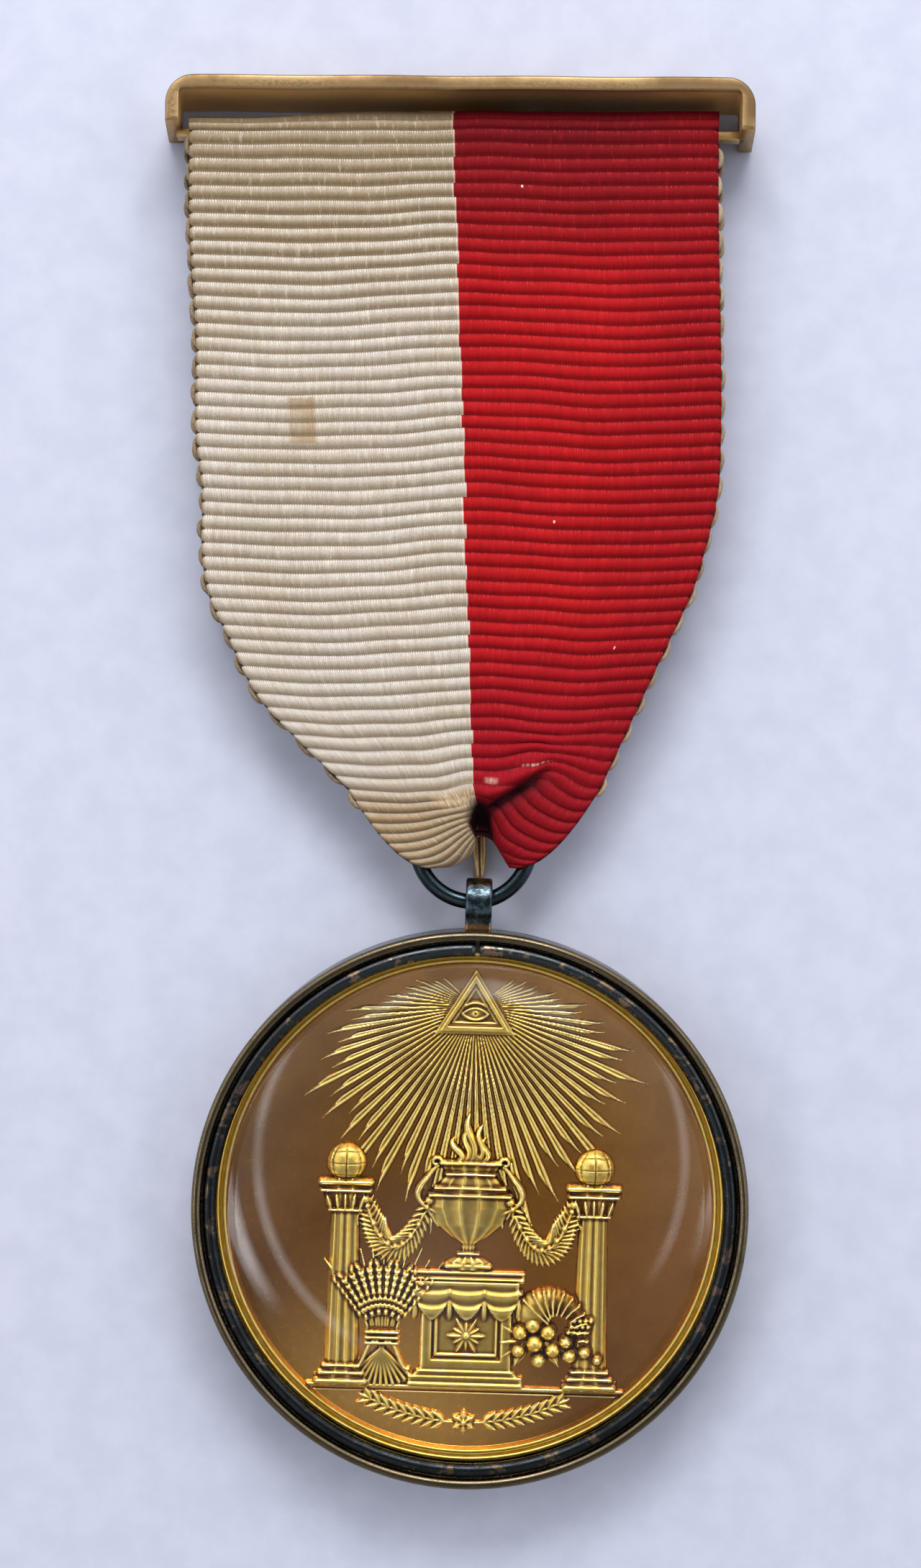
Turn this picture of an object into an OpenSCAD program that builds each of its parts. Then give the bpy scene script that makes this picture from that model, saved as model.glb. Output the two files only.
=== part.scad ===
// A glazed breast jewel on a half white, half red ribbed ribbon, lying on its back with its face up.
// Lengths are in millimetres. The origin is the middle of the case's flat back on the surface that it lies on.
// +Y runs up the ribbon to the bar, and +Z is the jewel's face.

/* [Case and glass] */
// Outer radius of the case
case_r = 20; // [17:0.5:24]
// Thickness of the case's back plate
back_t = 0.8; // [0.5:0.1:1.4]
// Thickness of the rim wall round the glass
rim_t = 0.7; // [0.5:0.1:1.2]
// Width of the ledge that the glass sits on
ledge_w = 0.7; // [0.5:0.1:1.2]
// Height of the rim above the retaining ring
rim_lip = 0.1; // [0.05:0.05:0.5]
// Thickness of the glass
glass_t = 0.8; // [0.5:0.1:1.2]
// Height of the dome above the glass's flat edge
dome_rise = 3.4; // [2.4:0.2:5]
// Radius of the wire of the retaining ring
retainer_wire_r = 0.5; // [0.35:0.05:0.7]
// Width of the slit in the retaining ring
retainer_slit = 0.3; // [0.2:0.1:1]

/* [Medal] */
// Thickness of the medal at its raised border
medal_t = 2.3; // [1.8:0.1:3]
// Height of the border above the field
border_h = 0.6; // [0.4:0.1:0.9]
// Width of the border
border_w = 0.9; // [0.6:0.1:1.4]
// Height of the low relief: rays, leaves and ground line
low_relief = 0.22; // [0.12:0.02:0.3]
// Height of the high relief: pillars, altar and vase
high_relief = 0.5; // [0.34:0.02:0.6]
// Number of rays all round the triangle
ray_count = 72; // [48:6:84]
// How far the medal and its case are turned clockwise from the ribbon's line, in degrees
case_turn = 1.7; // [0:0.1:4]

/* [Loop and ring] */
// Distance of the loop's hole from the case's rim
loop_reach = 2.1; // [1.9:0.1:3]
// Outer radius of the loop
loop_r = 1.7; // [1.5:0.05:2]
// Radius of the loop's hole
loop_hole_r = 0.95; // [0.85:0.05:1.1]
// Width of the loop across its hole
loop_w = 1.9; // [1.2:0.1:2.6]
// Radius of the ring, to the middle of its wire
ring_r = 4.1; // [3.8:0.1:5.6]
// Radius of the ring's wire
ring_wire_r = 0.56; // [0.46:0.02:0.66]
// How far the ring leans to the left of the loop, in degrees
ring_lean = 5.5; // [0:0.5:10]

/* [Ribbon] */
// Width of the ribbon
ribbon_w = 38; // [30:1:44]
// Thickness of the ribbon's cloth
cloth_t = 1; // [0.9:0.05:1.15]
// Distance from the middle of the ring to the middle of the bar's plate
ribbon_drop = 51.4; // [40:0.5:70]
// Distance from one rib of the ribbon to the next
rib_pitch = 1; // [0.9:0.1:2]
// Depth of the furrows between the ribs
rib_depth = 0.16; // [0.05:0.01:0.25]
// How far the ribbon's back run shows beyond its front run at each side
back_peep = 0.4; // [0:0.1:0.6]
// Depth of the tuck beside the ring
tuck_depth = 0.35; // [0.1:0.05:0.4]
// How far the ribbon lies to the left of the middle of the bar
ribbon_lay = 0.45; // [0:0.05:0.5]

/* [Bar and pin] */
// Room between the ribbon and each leg of the bar
bar_room = 1; // [0.9:0.1:4]
// Height of the bar, from its top to the plate's underside
bar_h = 3.75; // [3.7:0.05:6]
// Depth of the bar from front to back
bar_d = 5.5; // [5.2:0.1:8]
// Thickness of the bar's strip
bar_t = 1; // [0.7:0.05:1.1]
// Outer radius of the bar's upper corners
bar_corner_r = 2; // [1.4:0.1:3]
// Thickness of the plate that the ribbon hangs on
plate_t = 0.6; // [0.4:0.05:0.75]
// Depth of that plate from front to back
plate_d = 1.3; // [1:0.05:1.34]
// How far the bar lies to the left of the middle of the ring
bar_lay = 0.95; // [0:0.05:2]
// How far the bar is turned clockwise, in degrees
bar_turn = 0.35; // [-1:0.05:1]
// Thickness of the split pin behind the ribbon
pin_t = 0.85; // [0.6:0.05:1]
// Width of the split pin over both prongs
pin_w = 1.04; // [0.8:0.02:1.6]
// Width of the slit between the prongs
pin_slit = 0.12; // [0.08:0.02:0.3]
// Width of the pin's foot, soldered behind the bar
pin_foot_w = 6; // [3:0.5:12]
// How far the pin's foot reaches down below the bar's strip
pin_foot_drop = 1.6; // [0.8:0.1:2]
// Length of the prongs' tapered ends
pin_taper = 2; // [1:0.5:6]
// Distance of the prongs' points from the middle of the ring, down the jewel
pin_past_ring = 2.5; // [1:0.1:3.5]
// How far the prongs lean to the right, in degrees
pin_lean = 1.9; // [0:0.1:2.5]

/* [Clearances] */
// Gap round the medal and the glass
fit = 0.1; // [0.05:0.05:0.2]
// Gap between pieces that lie on each other
seat = 0.05; // [0.03:0.01:0.1]
// Gap between the ribbon and the metal that it is looped round
loop_gap = 0.27; // [0.2:0.01:0.3]
// Gap between the ribbon and the split pin behind it
pin_gap = 0.2; // [0.1:0.05:0.4]

/* [Hidden] */
$fn = 96;

// Stack of the case, from its back to its lip
medal_z = back_t + seat;
medal_top_z = medal_z + medal_t;
field_z = medal_top_z - border_h;
ledge_z = medal_top_z + seat;
glass_z = ledge_z + seat;
glass_edge_z = glass_z + glass_t;
retainer_z = glass_edge_z + seat + retainer_wire_r;
case_h = retainer_z + retainer_wire_r + rim_lip;

// Radii of the case, from its rim inwards
rim_in_r = case_r - rim_t;
glass_r = rim_in_r - fit;
retainer_r = rim_in_r - fit - retainer_wire_r;
cup_r = rim_in_r - ledge_w;
medal_r = cup_r - fit;
dome_r = retainer_r - retainer_wire_r - fit;
dome_ball_r = (dome_r * dome_r + dome_rise * dome_rise) / (2 * dome_rise);
border_in_r = medal_r - border_w;

// Height at which the ring, the loop and the middle of the looped ribbon lie
fold_in_r = max(plate_d / 2, ring_wire_r) + loop_gap;
fold_out_r = fold_in_r + cloth_t;
mid_z = pin_t + pin_gap + fold_out_r;

// Chain from the case up to the bar
loop_pos = (case_r + loop_reach) * [sin(case_turn), cos(case_turn)];
ring_pos = loop_pos + ring_r * [-sin(ring_lean), cos(ring_lean)];
plate_pos = ring_pos + [-bar_lay, ribbon_drop];
bar_w = ribbon_w + 2 * (bar_room + bar_t);

function mix(a, b, t) = a + (b - a) * t;
function bezier(a, b, c, t) = mix(mix(a, b, t), mix(b, c, t), t);

// The turned case with its back plate, its ledge for the glass and the soldered loop
module case_shell() {
  cylinder(r = case_r, h = case_h);
  translate([0, case_r + loop_reach, mid_z])
    rotate([0, 90, 0]) cylinder(r = loop_r, h = loop_w, center = true);
  neck = 0.72 * loop_r;
  translate([-loop_w / 2, case_r - rim_t / 2, mid_z - neck])
    cube([loop_w, loop_reach + rim_t / 2, 2 * neck]);
}

module case() {
  color("#57493a")
    rotate([0, 0, -case_turn])
      difference() {
        case_shell();
        translate([0, 0, back_t]) cylinder(r = cup_r, h = case_h);
        translate([0, 0, ledge_z]) cylinder(r = rim_in_r, h = case_h);
        translate([0, case_r + loop_reach, mid_z])
          rotate([0, 90, 0]) cylinder(r = loop_hole_r, h = 2 * loop_w, center = true);
      }
}

// The domed glass: a flat edge under the retaining ring and a spherical crown
module glass() {
  ball_z = glass_edge_z + dome_rise - dome_ball_r;
  color([0.85, 0.88, 0.9, 0.35])
    difference() {
      union() {
        translate([0, 0, glass_z]) cylinder(r = glass_r, h = glass_t);
        intersection() {
          translate([0, 0, ball_z]) sphere(r = dome_ball_r);
          translate([0, 0, glass_z + glass_t / 2]) cylinder(r = dome_r, h = 2 * dome_rise);
        }
      }
      translate([0, 0, ball_z]) sphere(r = dome_ball_r - glass_t);
    }
}

// The split wire ring that holds the glass in
module retaining_ring() {
  slit_angle = retainer_slit / retainer_r * 180 / PI;
  color("#30343a")
    rotate([0, 0, 90 - case_turn + slit_angle / 2])
      translate([0, 0, retainer_z])
        rotate_extrude(angle = 360 - slit_angle)
          translate([retainer_r, 0]) circle(r = retainer_wire_r);
}

module suspension_ring() {
  color("#2c3540")
    translate([ring_pos.x, ring_pos.y, mid_z])
      rotate_extrude() translate([ring_r, 0]) circle(r = ring_wire_r);
}

// The medal's relief is laid out in shares of the field's radius, so that it follows the medal's size
unit = border_in_r / 17.6;
ground_y = -13.2;
glory_y = 14.4;
pillar_x = 9;

// One ray, along +X from the middle of the glory: a wedge that ends in a point
module ray(length) {
  start = 3.2;
  shoulder = mix(start, length, 0.8);
  spread = tan(0.33 * 360 / ray_count);
  polygon([[start, -spread * start], [shoulder, -spread * shoulder], [length, 0],
           [shoulder, spread * shoulder], [start, spread * start]]);
}

// Distance from the glory's middle to the circle of radius r round the medal's middle, in direction a
function to_rim(a, r) = -glory_y * sin(a) + sqrt(r * r - glory_y * glory_y * cos(a) * cos(a));

module rays() {
  for (i = [0:ray_count - 1]) {
    a = (i + 0.5) * 360 / ray_count;
    length = [1, 0.84, 0.92, 0.76, 0.88, 0.8][i % 6] * min(16.4, to_rim(a, 16.9));
    if (length > 3.9)
      translate([0, glory_y]) rotate(a) ray(length);
  }
}

module triangle(half_w, up, down) {
  polygon([[-half_w, -down], [half_w, -down], [0, up]]);
}

module eye_outline() {
  lid_r = 1.3;
  lid_off = 0.95;
  intersection() {
    translate([0, -lid_off]) circle(r = lid_r);
    translate([0, lid_off]) circle(r = lid_r);
  }
}

module glory_triangle() {
  difference() {
    triangle(2.85, 2.7, 1.9);
    triangle(2.05, 1.75, 1.45);
  }
  translate([0, -0.5]) {
    difference() {
      scale(1.3) eye_outline();
      eye_outline();
    }
    circle(r = 0.22);
  }
}

// A leaf from its foot at the origin along +Y
module leaf(length, width) {
  polygon([for (s = [0:0.25:1]) [width / 2 * sin(180 * s), length * s],
           for (s = [0.75:-0.25:0.25]) [-width / 2 * sin(180 * s), length * s]]);
}

// A laurel sprig along an arc of radius r about the origin, from angle a to angle b
module sprig(r, a, b, pairs, length) {
  turn = b > a ? 0 : 180;
  for (i = [0:pairs], side = i < pairs ? [-32, 32] : [0])
    rotate(mix(a, b, i / pairs)) translate([r, 0]) {
      rotate(turn + side) leaf(length, 0.42 * length);
      circle(r = 0.14);
    }
}

module rosette() {
  circle(r = 0.42);
  for (i = [0:5]) rotate(60 * i) translate([0, 0.2]) leaf(0.95, 0.6);
}

module exergue() {
  for (side = [-1, 1]) sprig(15.9, -90 + side * 5, -90 + side * 23, 6, 1.25);
  translate([0, -15.7]) rosette();
}

// The line under the group runs into the border at both ends
module ground_line() {
  half = sqrt(17.6 * 17.6 - ground_y * ground_y) + 0.3;
  translate([-half, ground_y - 0.18]) square([2 * half, 0.36]);
}

// The outline of a turned shape from rows of [height, half width], standing on the origin
module turned(rows) {
  polygon([for (row = rows) [row[1], row[0]],
           for (i = [len(rows) - 1:-1:0]) [-rows[i][1], rows[i][0]]]);
}

pillar_h = 15;
// Rows of [height, half width] from the base to the capital, as shares of the pillar's height
pillar_rows = [[0, 0.135], [0.05, 0.135], [0.05, 0.115], [0.1, 0.095], [0.1, 0.085], [0.84, 0.07],
               [0.84, 0.09], [0.93, 0.115], [0.93, 0.135], [1, 0.135]];
globe_r = 1.45;
altar_h = 8.6;
// Rows of [height, half width] from the altar's plinth to its top, as shares of its height
altar_rows = [[0, 0.49], [0.11, 0.49], [0.11, 0.45], [0.17, 0.39], [0.83, 0.39], [0.88, 0.44],
              [0.88, 0.49], [1, 0.49]];
vase_h = 9;
// Rows of [height, half width] of the vase from its foot to its lip, as shares of its height
vase_rows = [[0, 0.19], [0.06, 0.19], [0.12, 0.07], [0.2, 0.06], [0.26, 0.16], [0.36, 0.28],
             [0.5, 0.35], [0.62, 0.34], [0.7, 0.25], [0.76, 0.2], [0.84, 0.25], [0.88, 0.25]];

function shares(rows, size) = [for (row = rows) row * size];

module flame() {
  polygon([[-0.9, 0], [-1.35, 0.9], [-0.75, 2.1], [-0.7, 1.4], [0, 3.4], [0.45, 1.9],
           [0.95, 2.4], [1.3, 1.1], [0.9, 0]]);
}

// A pillar with its flutes and the globe on its capital
module pillar() {
  difference() {
    turned(shares(pillar_rows, pillar_h));
    for (x = [-0.63, 0, 0.63])
      translate([x - 0.12, 0.14 * pillar_h]) square([0.24, 0.66 * pillar_h]);
  }
  translate([0, pillar_h + 0.75 * globe_r]) circle(r = globe_r);
}

// The altar with a sunk panel
module altar() {
  difference() {
    turned(shares(altar_rows, altar_h));
    translate([-0.29 * altar_h, 0.27 * altar_h]) square([0.58 * altar_h, 0.46 * altar_h]);
  }
}

module swags() {
  for (side = [-1, 1]) {
    from = [side * 2.9, ground_y + altar_h + 0.55 * vase_h];
    to = [side * (pillar_x - 1.4), ground_y + 0.9 * pillar_h];
    sag = [side * 5.4, -6.4];
    for (i = [0:10])
      translate(bezier(from, sag, to, i / 10)) circle(r = 0.42 + 0.28 * sin(18 * i));
  }
}

module wheat_sheaf() {
  translate([-6, -10.8]) {
    for (a = [-28:8:28])
      rotate(a) {
        translate([-0.13, -2.3]) square([0.26, 4.4]);
        translate([0, 1.7]) leaf(1.9, 0.7);
      }
    translate([-0.65, -0.35]) square([1.3, 0.6]);
  }
}

module fruit_horn() {
  steps = 7;
  for (i = [0:steps]) {
    a = 340 + 22 * i;
    translate([6 + 1.15 * cos(a), -10.4 + 1.5 * sin(a)]) circle(r = 0.25 + 0.09 * i);
  }
  for (p = [[4.95, -12.5], [6, -12.5], [7.05, -12.5], [5.5, -11.7], [6.5, -11.7]])
    translate(p) circle(r = 0.55);
}

// The relief sinks a little into the field, so that the medal stays one solid
module raised(height) {
  sink = 0.3;
  translate([0, 0, field_z - sink]) scale_plan(unit) linear_extrude(height + sink) children();
}

module scale_plan(k) {
  multmatrix([[k, 0, 0, 0], [0, k, 0, 0], [0, 0, 1, 0]]) children();
}

module medal() {
  color("#b58a3c")
    rotate([0, 0, -case_turn]) {
      translate([0, 0, medal_z]) difference() {
        cylinder(r = medal_r, h = medal_t);
        translate([0, 0, medal_t - border_h]) cylinder(r = border_in_r, h = 2 * border_h);
      }
      raised(low_relief) {
        rays();
        ground_line();
        exergue();
      }
      raised(mix(low_relief, high_relief, 0.5)) {
        translate([0, glory_y]) glory_triangle();
        swags();
        wheat_sheaf();
        fruit_horn();
      }
      raised(high_relief) {
        for (side = [-1, 1]) translate([side * pillar_x, ground_y]) pillar();
        translate([0, ground_y]) altar();
        translate([0, ground_y + altar_h]) turned(shares(vase_rows, vase_h));
        translate([0, ground_y + altar_h + 0.86 * vase_h]) flame();
      }
    }
}

// The bar: a strip bent into a bow, the plate across its legs and the split pin soldered behind it
module bow_outline(w, h, r) {
  translate([-w / 2, 0]) square([w, h - r]);
  translate([-w / 2 + r, 0]) square([w - 2 * r, h]);
  for (side = [-1, 1]) translate([side * (w / 2 - r), h - r]) circle(r = r);
}

module split_pin() {
  foot_top = bar_h - plate_t / 2;
  length = norm(plate_pos - ring_pos) + pin_past_ring;
  point = 0.76;
  linear_extrude(pin_t) {
    translate([-pin_foot_w / 2, foot_top - bar_t - pin_foot_drop])
      square([pin_foot_w, bar_t + pin_foot_drop]);
    rotate(pin_lean)
      for (side = [-1, 1])
        polygon([[side * pin_slit / 2, foot_top - bar_t], [side * pin_w / 2, foot_top - bar_t],
                 [side * pin_w / 2, pin_taper - length], [side * pin_w / 2 * point, -length],
                 [side * pin_slit / 2, -length]]);
  }
}

module brooch_bar() {
  under = plate_t / 2;
  inner_r = 0.3 * bar_t;
  color("#a08155")
    translate([plate_pos.x, plate_pos.y, 0])
      rotate([0, 0, -bar_turn]) {
        translate([0, -under, pin_t])
          linear_extrude(bar_d)
            difference() {
              bow_outline(bar_w, bar_h, bar_corner_r);
              translate([0, -bar_t]) bow_outline(bar_w - 2 * bar_t, bar_h, inner_r);
            }
        translate([bar_t / 2 - bar_w / 2, -under, mid_z - plate_d / 2])
          cube([bar_w - bar_t, plate_t, plate_d]);
        split_pin();
      }
}

// Ribbon: rows of [share of the way from the plate to the ring, left half width, right half width],
// with the widths as shares of half the ribbon's width
edge_rows = [[0, 1, 1], [0.14, 1.01, 0.99], [0.32, 1, 0.985], [0.47, 1.01, 0.975], [0.54, 0.995, 0.963],
             [0.65, 1, 0.895], [0.7, 0.985, 0.853], [0.77, 0.913, 0.766], [0.87, 0.79, 0.642],
             [0.93, 0.653, 0.568], [1, 0.476, 0.482]];

// Outline of the gathered ribbon's fold inside the ring: rows of [station across the ribbon, x, y],
// with x and y from the ring's middle as shares of the ring's radius
fold_rows = [[-1, -0.42, -0.46], [-0.75, -0.22, -0.43], [-0.5, -0.04, -0.22], [-0.25, 0.02, 0.07],
             [-0.1, -0.02, 0.37], [0, 0.07, 0.5], [0.1, 0.2, 0.44], [0.25, 0.31, 0.25],
             [0.5, 0.37, 0.02], [0.75, 0.4, -0.22], [1, 0.42, -0.45]];

gather_y = ring_pos.y + ring_r;
front_run = plate_pos.y - gather_y;
ribbon_top_x = plate_pos.x - ribbon_lay;
half_ribbon = ribbon_w / 2;

stations = [for (j = [-6:6]) j / 6];
ribs = 4 * round(front_run / rib_pitch / 4);
lobe_ribs = 7;

// The value in a column of a table, at a place along its first column
function in_table(rows, at, column) =
  let (i = max([for (k = [0:len(rows) - 2]) if (at >= rows[k][0]) k]), a = rows[i], b = rows[i + 1])
  mix(a[column], b[column], (at - a[0]) / (b[0] - a[0]));

// A point of the straight run, at a share of its length and a station from -1 at the left edge to 1
function run_point(share, n, peep) =
  let (middle = mix(ribbon_top_x, ring_pos.x, share),
       half = half_ribbon * in_table(edge_rows, share, n < 0 ? 1 : 2) + peep)
  [middle + n * half, plate_pos.y - share * front_run];

// The turn of one thread round the ring's wire, on the cloth's outside or, one thickness back, its inside
function gather_end(n, back) =
  let (p = ring_pos + ring_r * [in_table(fold_rows, n, 1), in_table(fold_rows, n, 2)],
       way = thread_corner(n) - p)
  p + back * way / norm(way);
function thread_corner(n) = ring_pos + ring_r * mix([n * 0.5, 1.2], [n * 1.37, -0.45], n * n);

// The way of one thread from the straight run to its turn round the ring's wire
function gather_point(t, n, back) =
  let (a = run_point(1, n, 0), c = gather_end(n, back),
       corner = ring_pos + ring_r * [n * 1.37, -0.45])
  bezier(a, mix((a + c) / 2, corner, n * n), c, t);

// Height above the middle plane of a fold of radius r, at a distance d from its turn
function fold_height(d, r) = d >= r ? r : sqrt(r * r - (r - d) * (r - d));

// The tuck at the right of the ring: a valley from the notch up and to the right
function tuck(p) =
  let (rel = (p - ring_pos) / ring_r, along = rel * [0.85, 0.53], across = rel * [-0.53, 0.85])
  -tuck_depth * exp(-pow((across - 0.445) / 0.16, 2)) * exp(-pow((along - 1.2) / 0.7, 2));

function rib(i) = i % 2 == 0 ? -rib_depth : 0;
function lifted(p, z) = [p.x, p.y, mid_z + z];

function outer_run(i, last, side) = [for (n = stations)
  let (p = run_point(i / last, n, side < 0 ? back_peep * (1 - i / last) : 0))
  lifted(p, side * (fold_out_r + (side > 0 ? rib(i) + tuck(p) : 0)))];
function outer_lobe(i, last, side) = [for (n = stations)
  let (p = gather_point(i / last, n, 0),
       lift = fold_height(norm(p - gather_end(n, 0)), fold_out_r),
       grain = side > 0 && i < last ? (rib(i) + tuck(p)) * lift / fold_out_r : 0)
  lifted(p, side * lift + grain)];
function inner_run(i, last, side) = [for (n = stations)
  let (p = run_point(i / last, n, side < 0 ? back_peep * (1 - i / last) : 0))
  lifted(p, side * (fold_in_r + (side > 0 ? tuck(p) / 2 : 0)))];
function inner_lobe(i, last, side) = [for (n = stations)
  let (p = gather_point(i / last, n, cloth_t),
       lift = fold_height(norm(p - gather_end(n, cloth_t)), fold_in_r))
  lifted(p, side * lift)];
function top_fold(i, last, r) = [for (n = stations)
  let (a = 180 - 180 * i / last, p = run_point(0, n, back_peep * (1 - i / last)))
  [p.x, plate_pos.y + r * sin(a), mid_z + r * cos(a)]];

run_in = ribs / 4;
back_in = 12;
fold_in = 6;
outer_rows = [
  for (i = [0:2 * ribs - 1]) outer_run(i, 2 * ribs, 1),
  for (i = [0:2 * lobe_ribs - 1]) outer_lobe(i, 2 * lobe_ribs, 1),
  for (i = [lobe_ribs:-1:1]) outer_lobe(i, lobe_ribs, -1),
  for (i = [back_in:-1:1]) outer_run(i, back_in, -1),
  for (i = [0:fold_in - 1]) top_fold(i, fold_in, fold_out_r)];
inner_rows = [
  for (i = [0:run_in - 1]) inner_run(i, run_in, 1),
  for (i = [0:lobe_ribs - 1]) inner_lobe(i, lobe_ribs, 1),
  for (i = [lobe_ribs:-1:1]) inner_lobe(i, lobe_ribs, -1),
  for (i = [back_in:-1:1]) inner_run(i, back_in, -1),
  for (i = [0:fold_in - 1]) top_fold(i, fold_in, fold_in_r)];
// The outer row that lies over each inner row, with the first one repeated at the end
over = [
  for (i = [0:run_in - 1]) 8 * i,
  for (i = [0:lobe_ribs - 1]) 2 * ribs + 2 * i,
  for (i = [0:lobe_ribs + back_in + fold_in]) 2 * ribs + 2 * lobe_ribs + i];

module ribbon() {
  across = len(outer_rows[0]);
  outer_n = len(outer_rows);
  inner_n = len(inner_rows);
  function outer(i, j) = (i % outer_n) * across + j;
  function inner(i, j) = outer_n * across + (i % inner_n) * across + j;
  points = [for (row = outer_rows) each row, for (row = inner_rows) each row];
  faces = [
    for (i = [0:outer_n - 1], j = [0:across - 2]) each [
      [outer(i, j), outer(i, j + 1), outer(i + 1, j + 1)],
      [outer(i, j), outer(i + 1, j + 1), outer(i + 1, j)]],
    for (i = [0:inner_n - 1], j = [0:across - 2]) each [
      [inner(i, j), inner(i + 1, j + 1), inner(i, j + 1)],
      [inner(i, j), inner(i + 1, j), inner(i + 1, j + 1)]],
    for (i = [0:inner_n - 1]) each [
      for (k = [over[i]:over[i + 1] - 1]) each [
        [inner(i, 0), outer(k, 0), outer(k + 1, 0)],
        [inner(i, across - 1), outer(k + 1, across - 1), outer(k, across - 1)]],
      [inner(i, 0), outer(over[i + 1], 0), inner(i + 1, 0)],
      [inner(i, across - 1), inner(i + 1, across - 1), outer(over[i + 1], across - 1)]]];
  color("#a3202a") polyhedron(points, faces, convexity = 6);
}

case();
medal();
glass();
retaining_ring();
suspension_ring();
ribbon();
brooch_bar();
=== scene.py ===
"""A glazed breast jewel on a half white, half red ribbed ribbon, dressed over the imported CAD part.

Shapes are worked out in millimetres in the part's own frame, and each mesh is scaled to metres as it is made.
The origin is the middle of the case's back, +Y runs up the ribbon to the bar and +Z is the jewel's face.
"""

import math
from types import SimpleNamespace

import bpy
import numpy as np
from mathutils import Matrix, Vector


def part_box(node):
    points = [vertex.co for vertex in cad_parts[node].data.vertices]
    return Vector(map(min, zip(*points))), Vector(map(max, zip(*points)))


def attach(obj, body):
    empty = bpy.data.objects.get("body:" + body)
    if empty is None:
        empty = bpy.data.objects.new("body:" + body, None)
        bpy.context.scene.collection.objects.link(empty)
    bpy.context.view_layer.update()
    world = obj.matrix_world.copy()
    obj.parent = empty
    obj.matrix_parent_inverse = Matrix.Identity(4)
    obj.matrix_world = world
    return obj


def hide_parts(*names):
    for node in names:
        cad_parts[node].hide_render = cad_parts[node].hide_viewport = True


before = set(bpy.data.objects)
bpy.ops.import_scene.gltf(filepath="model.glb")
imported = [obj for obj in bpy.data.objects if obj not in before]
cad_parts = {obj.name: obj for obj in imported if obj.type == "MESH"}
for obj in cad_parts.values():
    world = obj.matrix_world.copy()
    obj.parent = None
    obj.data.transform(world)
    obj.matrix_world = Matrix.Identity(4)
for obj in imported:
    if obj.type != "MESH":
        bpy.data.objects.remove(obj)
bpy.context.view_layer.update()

MM = 0.001


def box_mm(node):
    """Lowest and highest corner of a CAD node, in millimetres."""
    low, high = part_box(node)
    return np.array(low) / MM, np.array(high) / MM


# Sizes, from the frame and the part's own dimensions

case_low, case_high = box_mm("case")
medal_low, medal_high = box_mm("medal")
glass_low, glass_high = box_mm("glass")
keeper_low, keeper_high = box_mm("retaining_ring")
ring_low, ring_high = box_mm("suspension_ring")

CASE_R = case_high[0]
CASE_H = case_high[2]
RIM_T = 0.7
LEDGE_W = 0.7
BACK_T = 0.8
CASE_TURN = math.radians(1.7)

MEDAL_R = medal_high[0]
BORDER_H = 0.6
BORDER_W = 0.9
FIELD_Z = medal_high[2] - BORDER_H
FIELD_R = MEDAL_R - BORDER_W

GLASS_R = glass_high[0]
GLASS_T = 0.8
DOME_RISE = 3.4
DOME_R = 18.1

KEEPER_WIRE_R = (keeper_high[2] - keeper_low[2]) / 2
KEEPER_R = keeper_high[0] - KEEPER_WIRE_R
KEEPER_Z = (keeper_high[2] + keeper_low[2]) / 2
KEEPER_SLIT = 0.3

RING_WIRE_R = (ring_high[2] - ring_low[2]) / 2
RING_R = (ring_high[0] - ring_low[0]) / 2 - RING_WIRE_R
RING_POS = (ring_high[:2] + ring_low[:2]) / 2
MID_Z = (ring_high[2] + ring_low[2]) / 2

LOOP_REACH = 2.1
LOOP_R = 1.7
LOOP_HOLE_R = 0.95
LOOP_W = 1.9

RIBBON_W = 38.0
RIBBON_DROP = 51.4
RIBBON_LAY = 0.45
BACK_PEEP = 0.4
CLOTH_T = 0.3
PLATE_FOLD_R = 1.92
RING_FOLD_R = 1.5

BAR_LAY = 0.95
BAR_TURN = math.radians(0.35)
BAR_W = 42.0
BAR_H = 3.75
BAR_D = 5.5
BAR_T = 1.0
BAR_CORNER_R = 2.0
BAR_INNER_R = 0.3
BAR_BACK = 0.15
BAR_FLARE = 0.45
LEFT_LEG_SHORT = 0.45
PLATE_T = 0.6
PLATE_D = 1.3
PIN_T = 0.85
PIN_W = 1.04
PIN_SLIT = 0.12
PIN_FOOT_W = 6.0
PIN_FOOT_DROP = 1.6
PIN_TAPER = 2.0
PIN_PAST_RING = 2.5
PIN_LEAN = math.radians(1.9)

PLATE_POS = RING_POS + [-BAR_LAY, RIBBON_DROP]

# clearances, chamfers and wear that the photograph doesn't fix
SEAT_GAP = 0.05
GLASS_CHAMFER = 0.08
LOOP_NECK = 0.72
LOOP_SUNK = 0.3
RUBBED_FROM = 1.1
SOLDER_H = 0.75
BAR_WAVE = 0.025
EDGE_WEAR_R = 0.3
CORNER_FADE = 0.6
# grime on the bow's back, on its feet and on what lies behind the cloth
BACK_GRIME = 0.2
HIDDEN_GRIME = 0.3
# x along the bar, and how much of a pale, dull coat the bow's inside gets there: painted light, most at the
# left end and least just right of the middle
PAINTED_LIGHT_ROWS = np.array([[-19, 1.0], [-13, 1.0], [-7, 0.75], [2, 0.4], [8, 0.4], [19, 0.8]])

# fineness of the meshes
CASE_STEPS = 288
KEEPER_STEPS = 320
RING_STEPS = 128
WIRE_SIDES = 20
LOOP_STEPS = 72
GLASS_STEPS = 192
DOME_ROWS = 26
LEG_ROWS = 7
CORNER_STEPS = 12
BAR_STEPS = 60
PLATE_STEPS = 40
PRONG_STEPS = 40
BAR_CELL = 0.45


# Meshes


def placed(name, data):
    """A new object for some data, in the scene."""
    thing = bpy.data.objects.new(name, data)
    bpy.context.scene.collection.objects.link(thing)
    return thing


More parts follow.
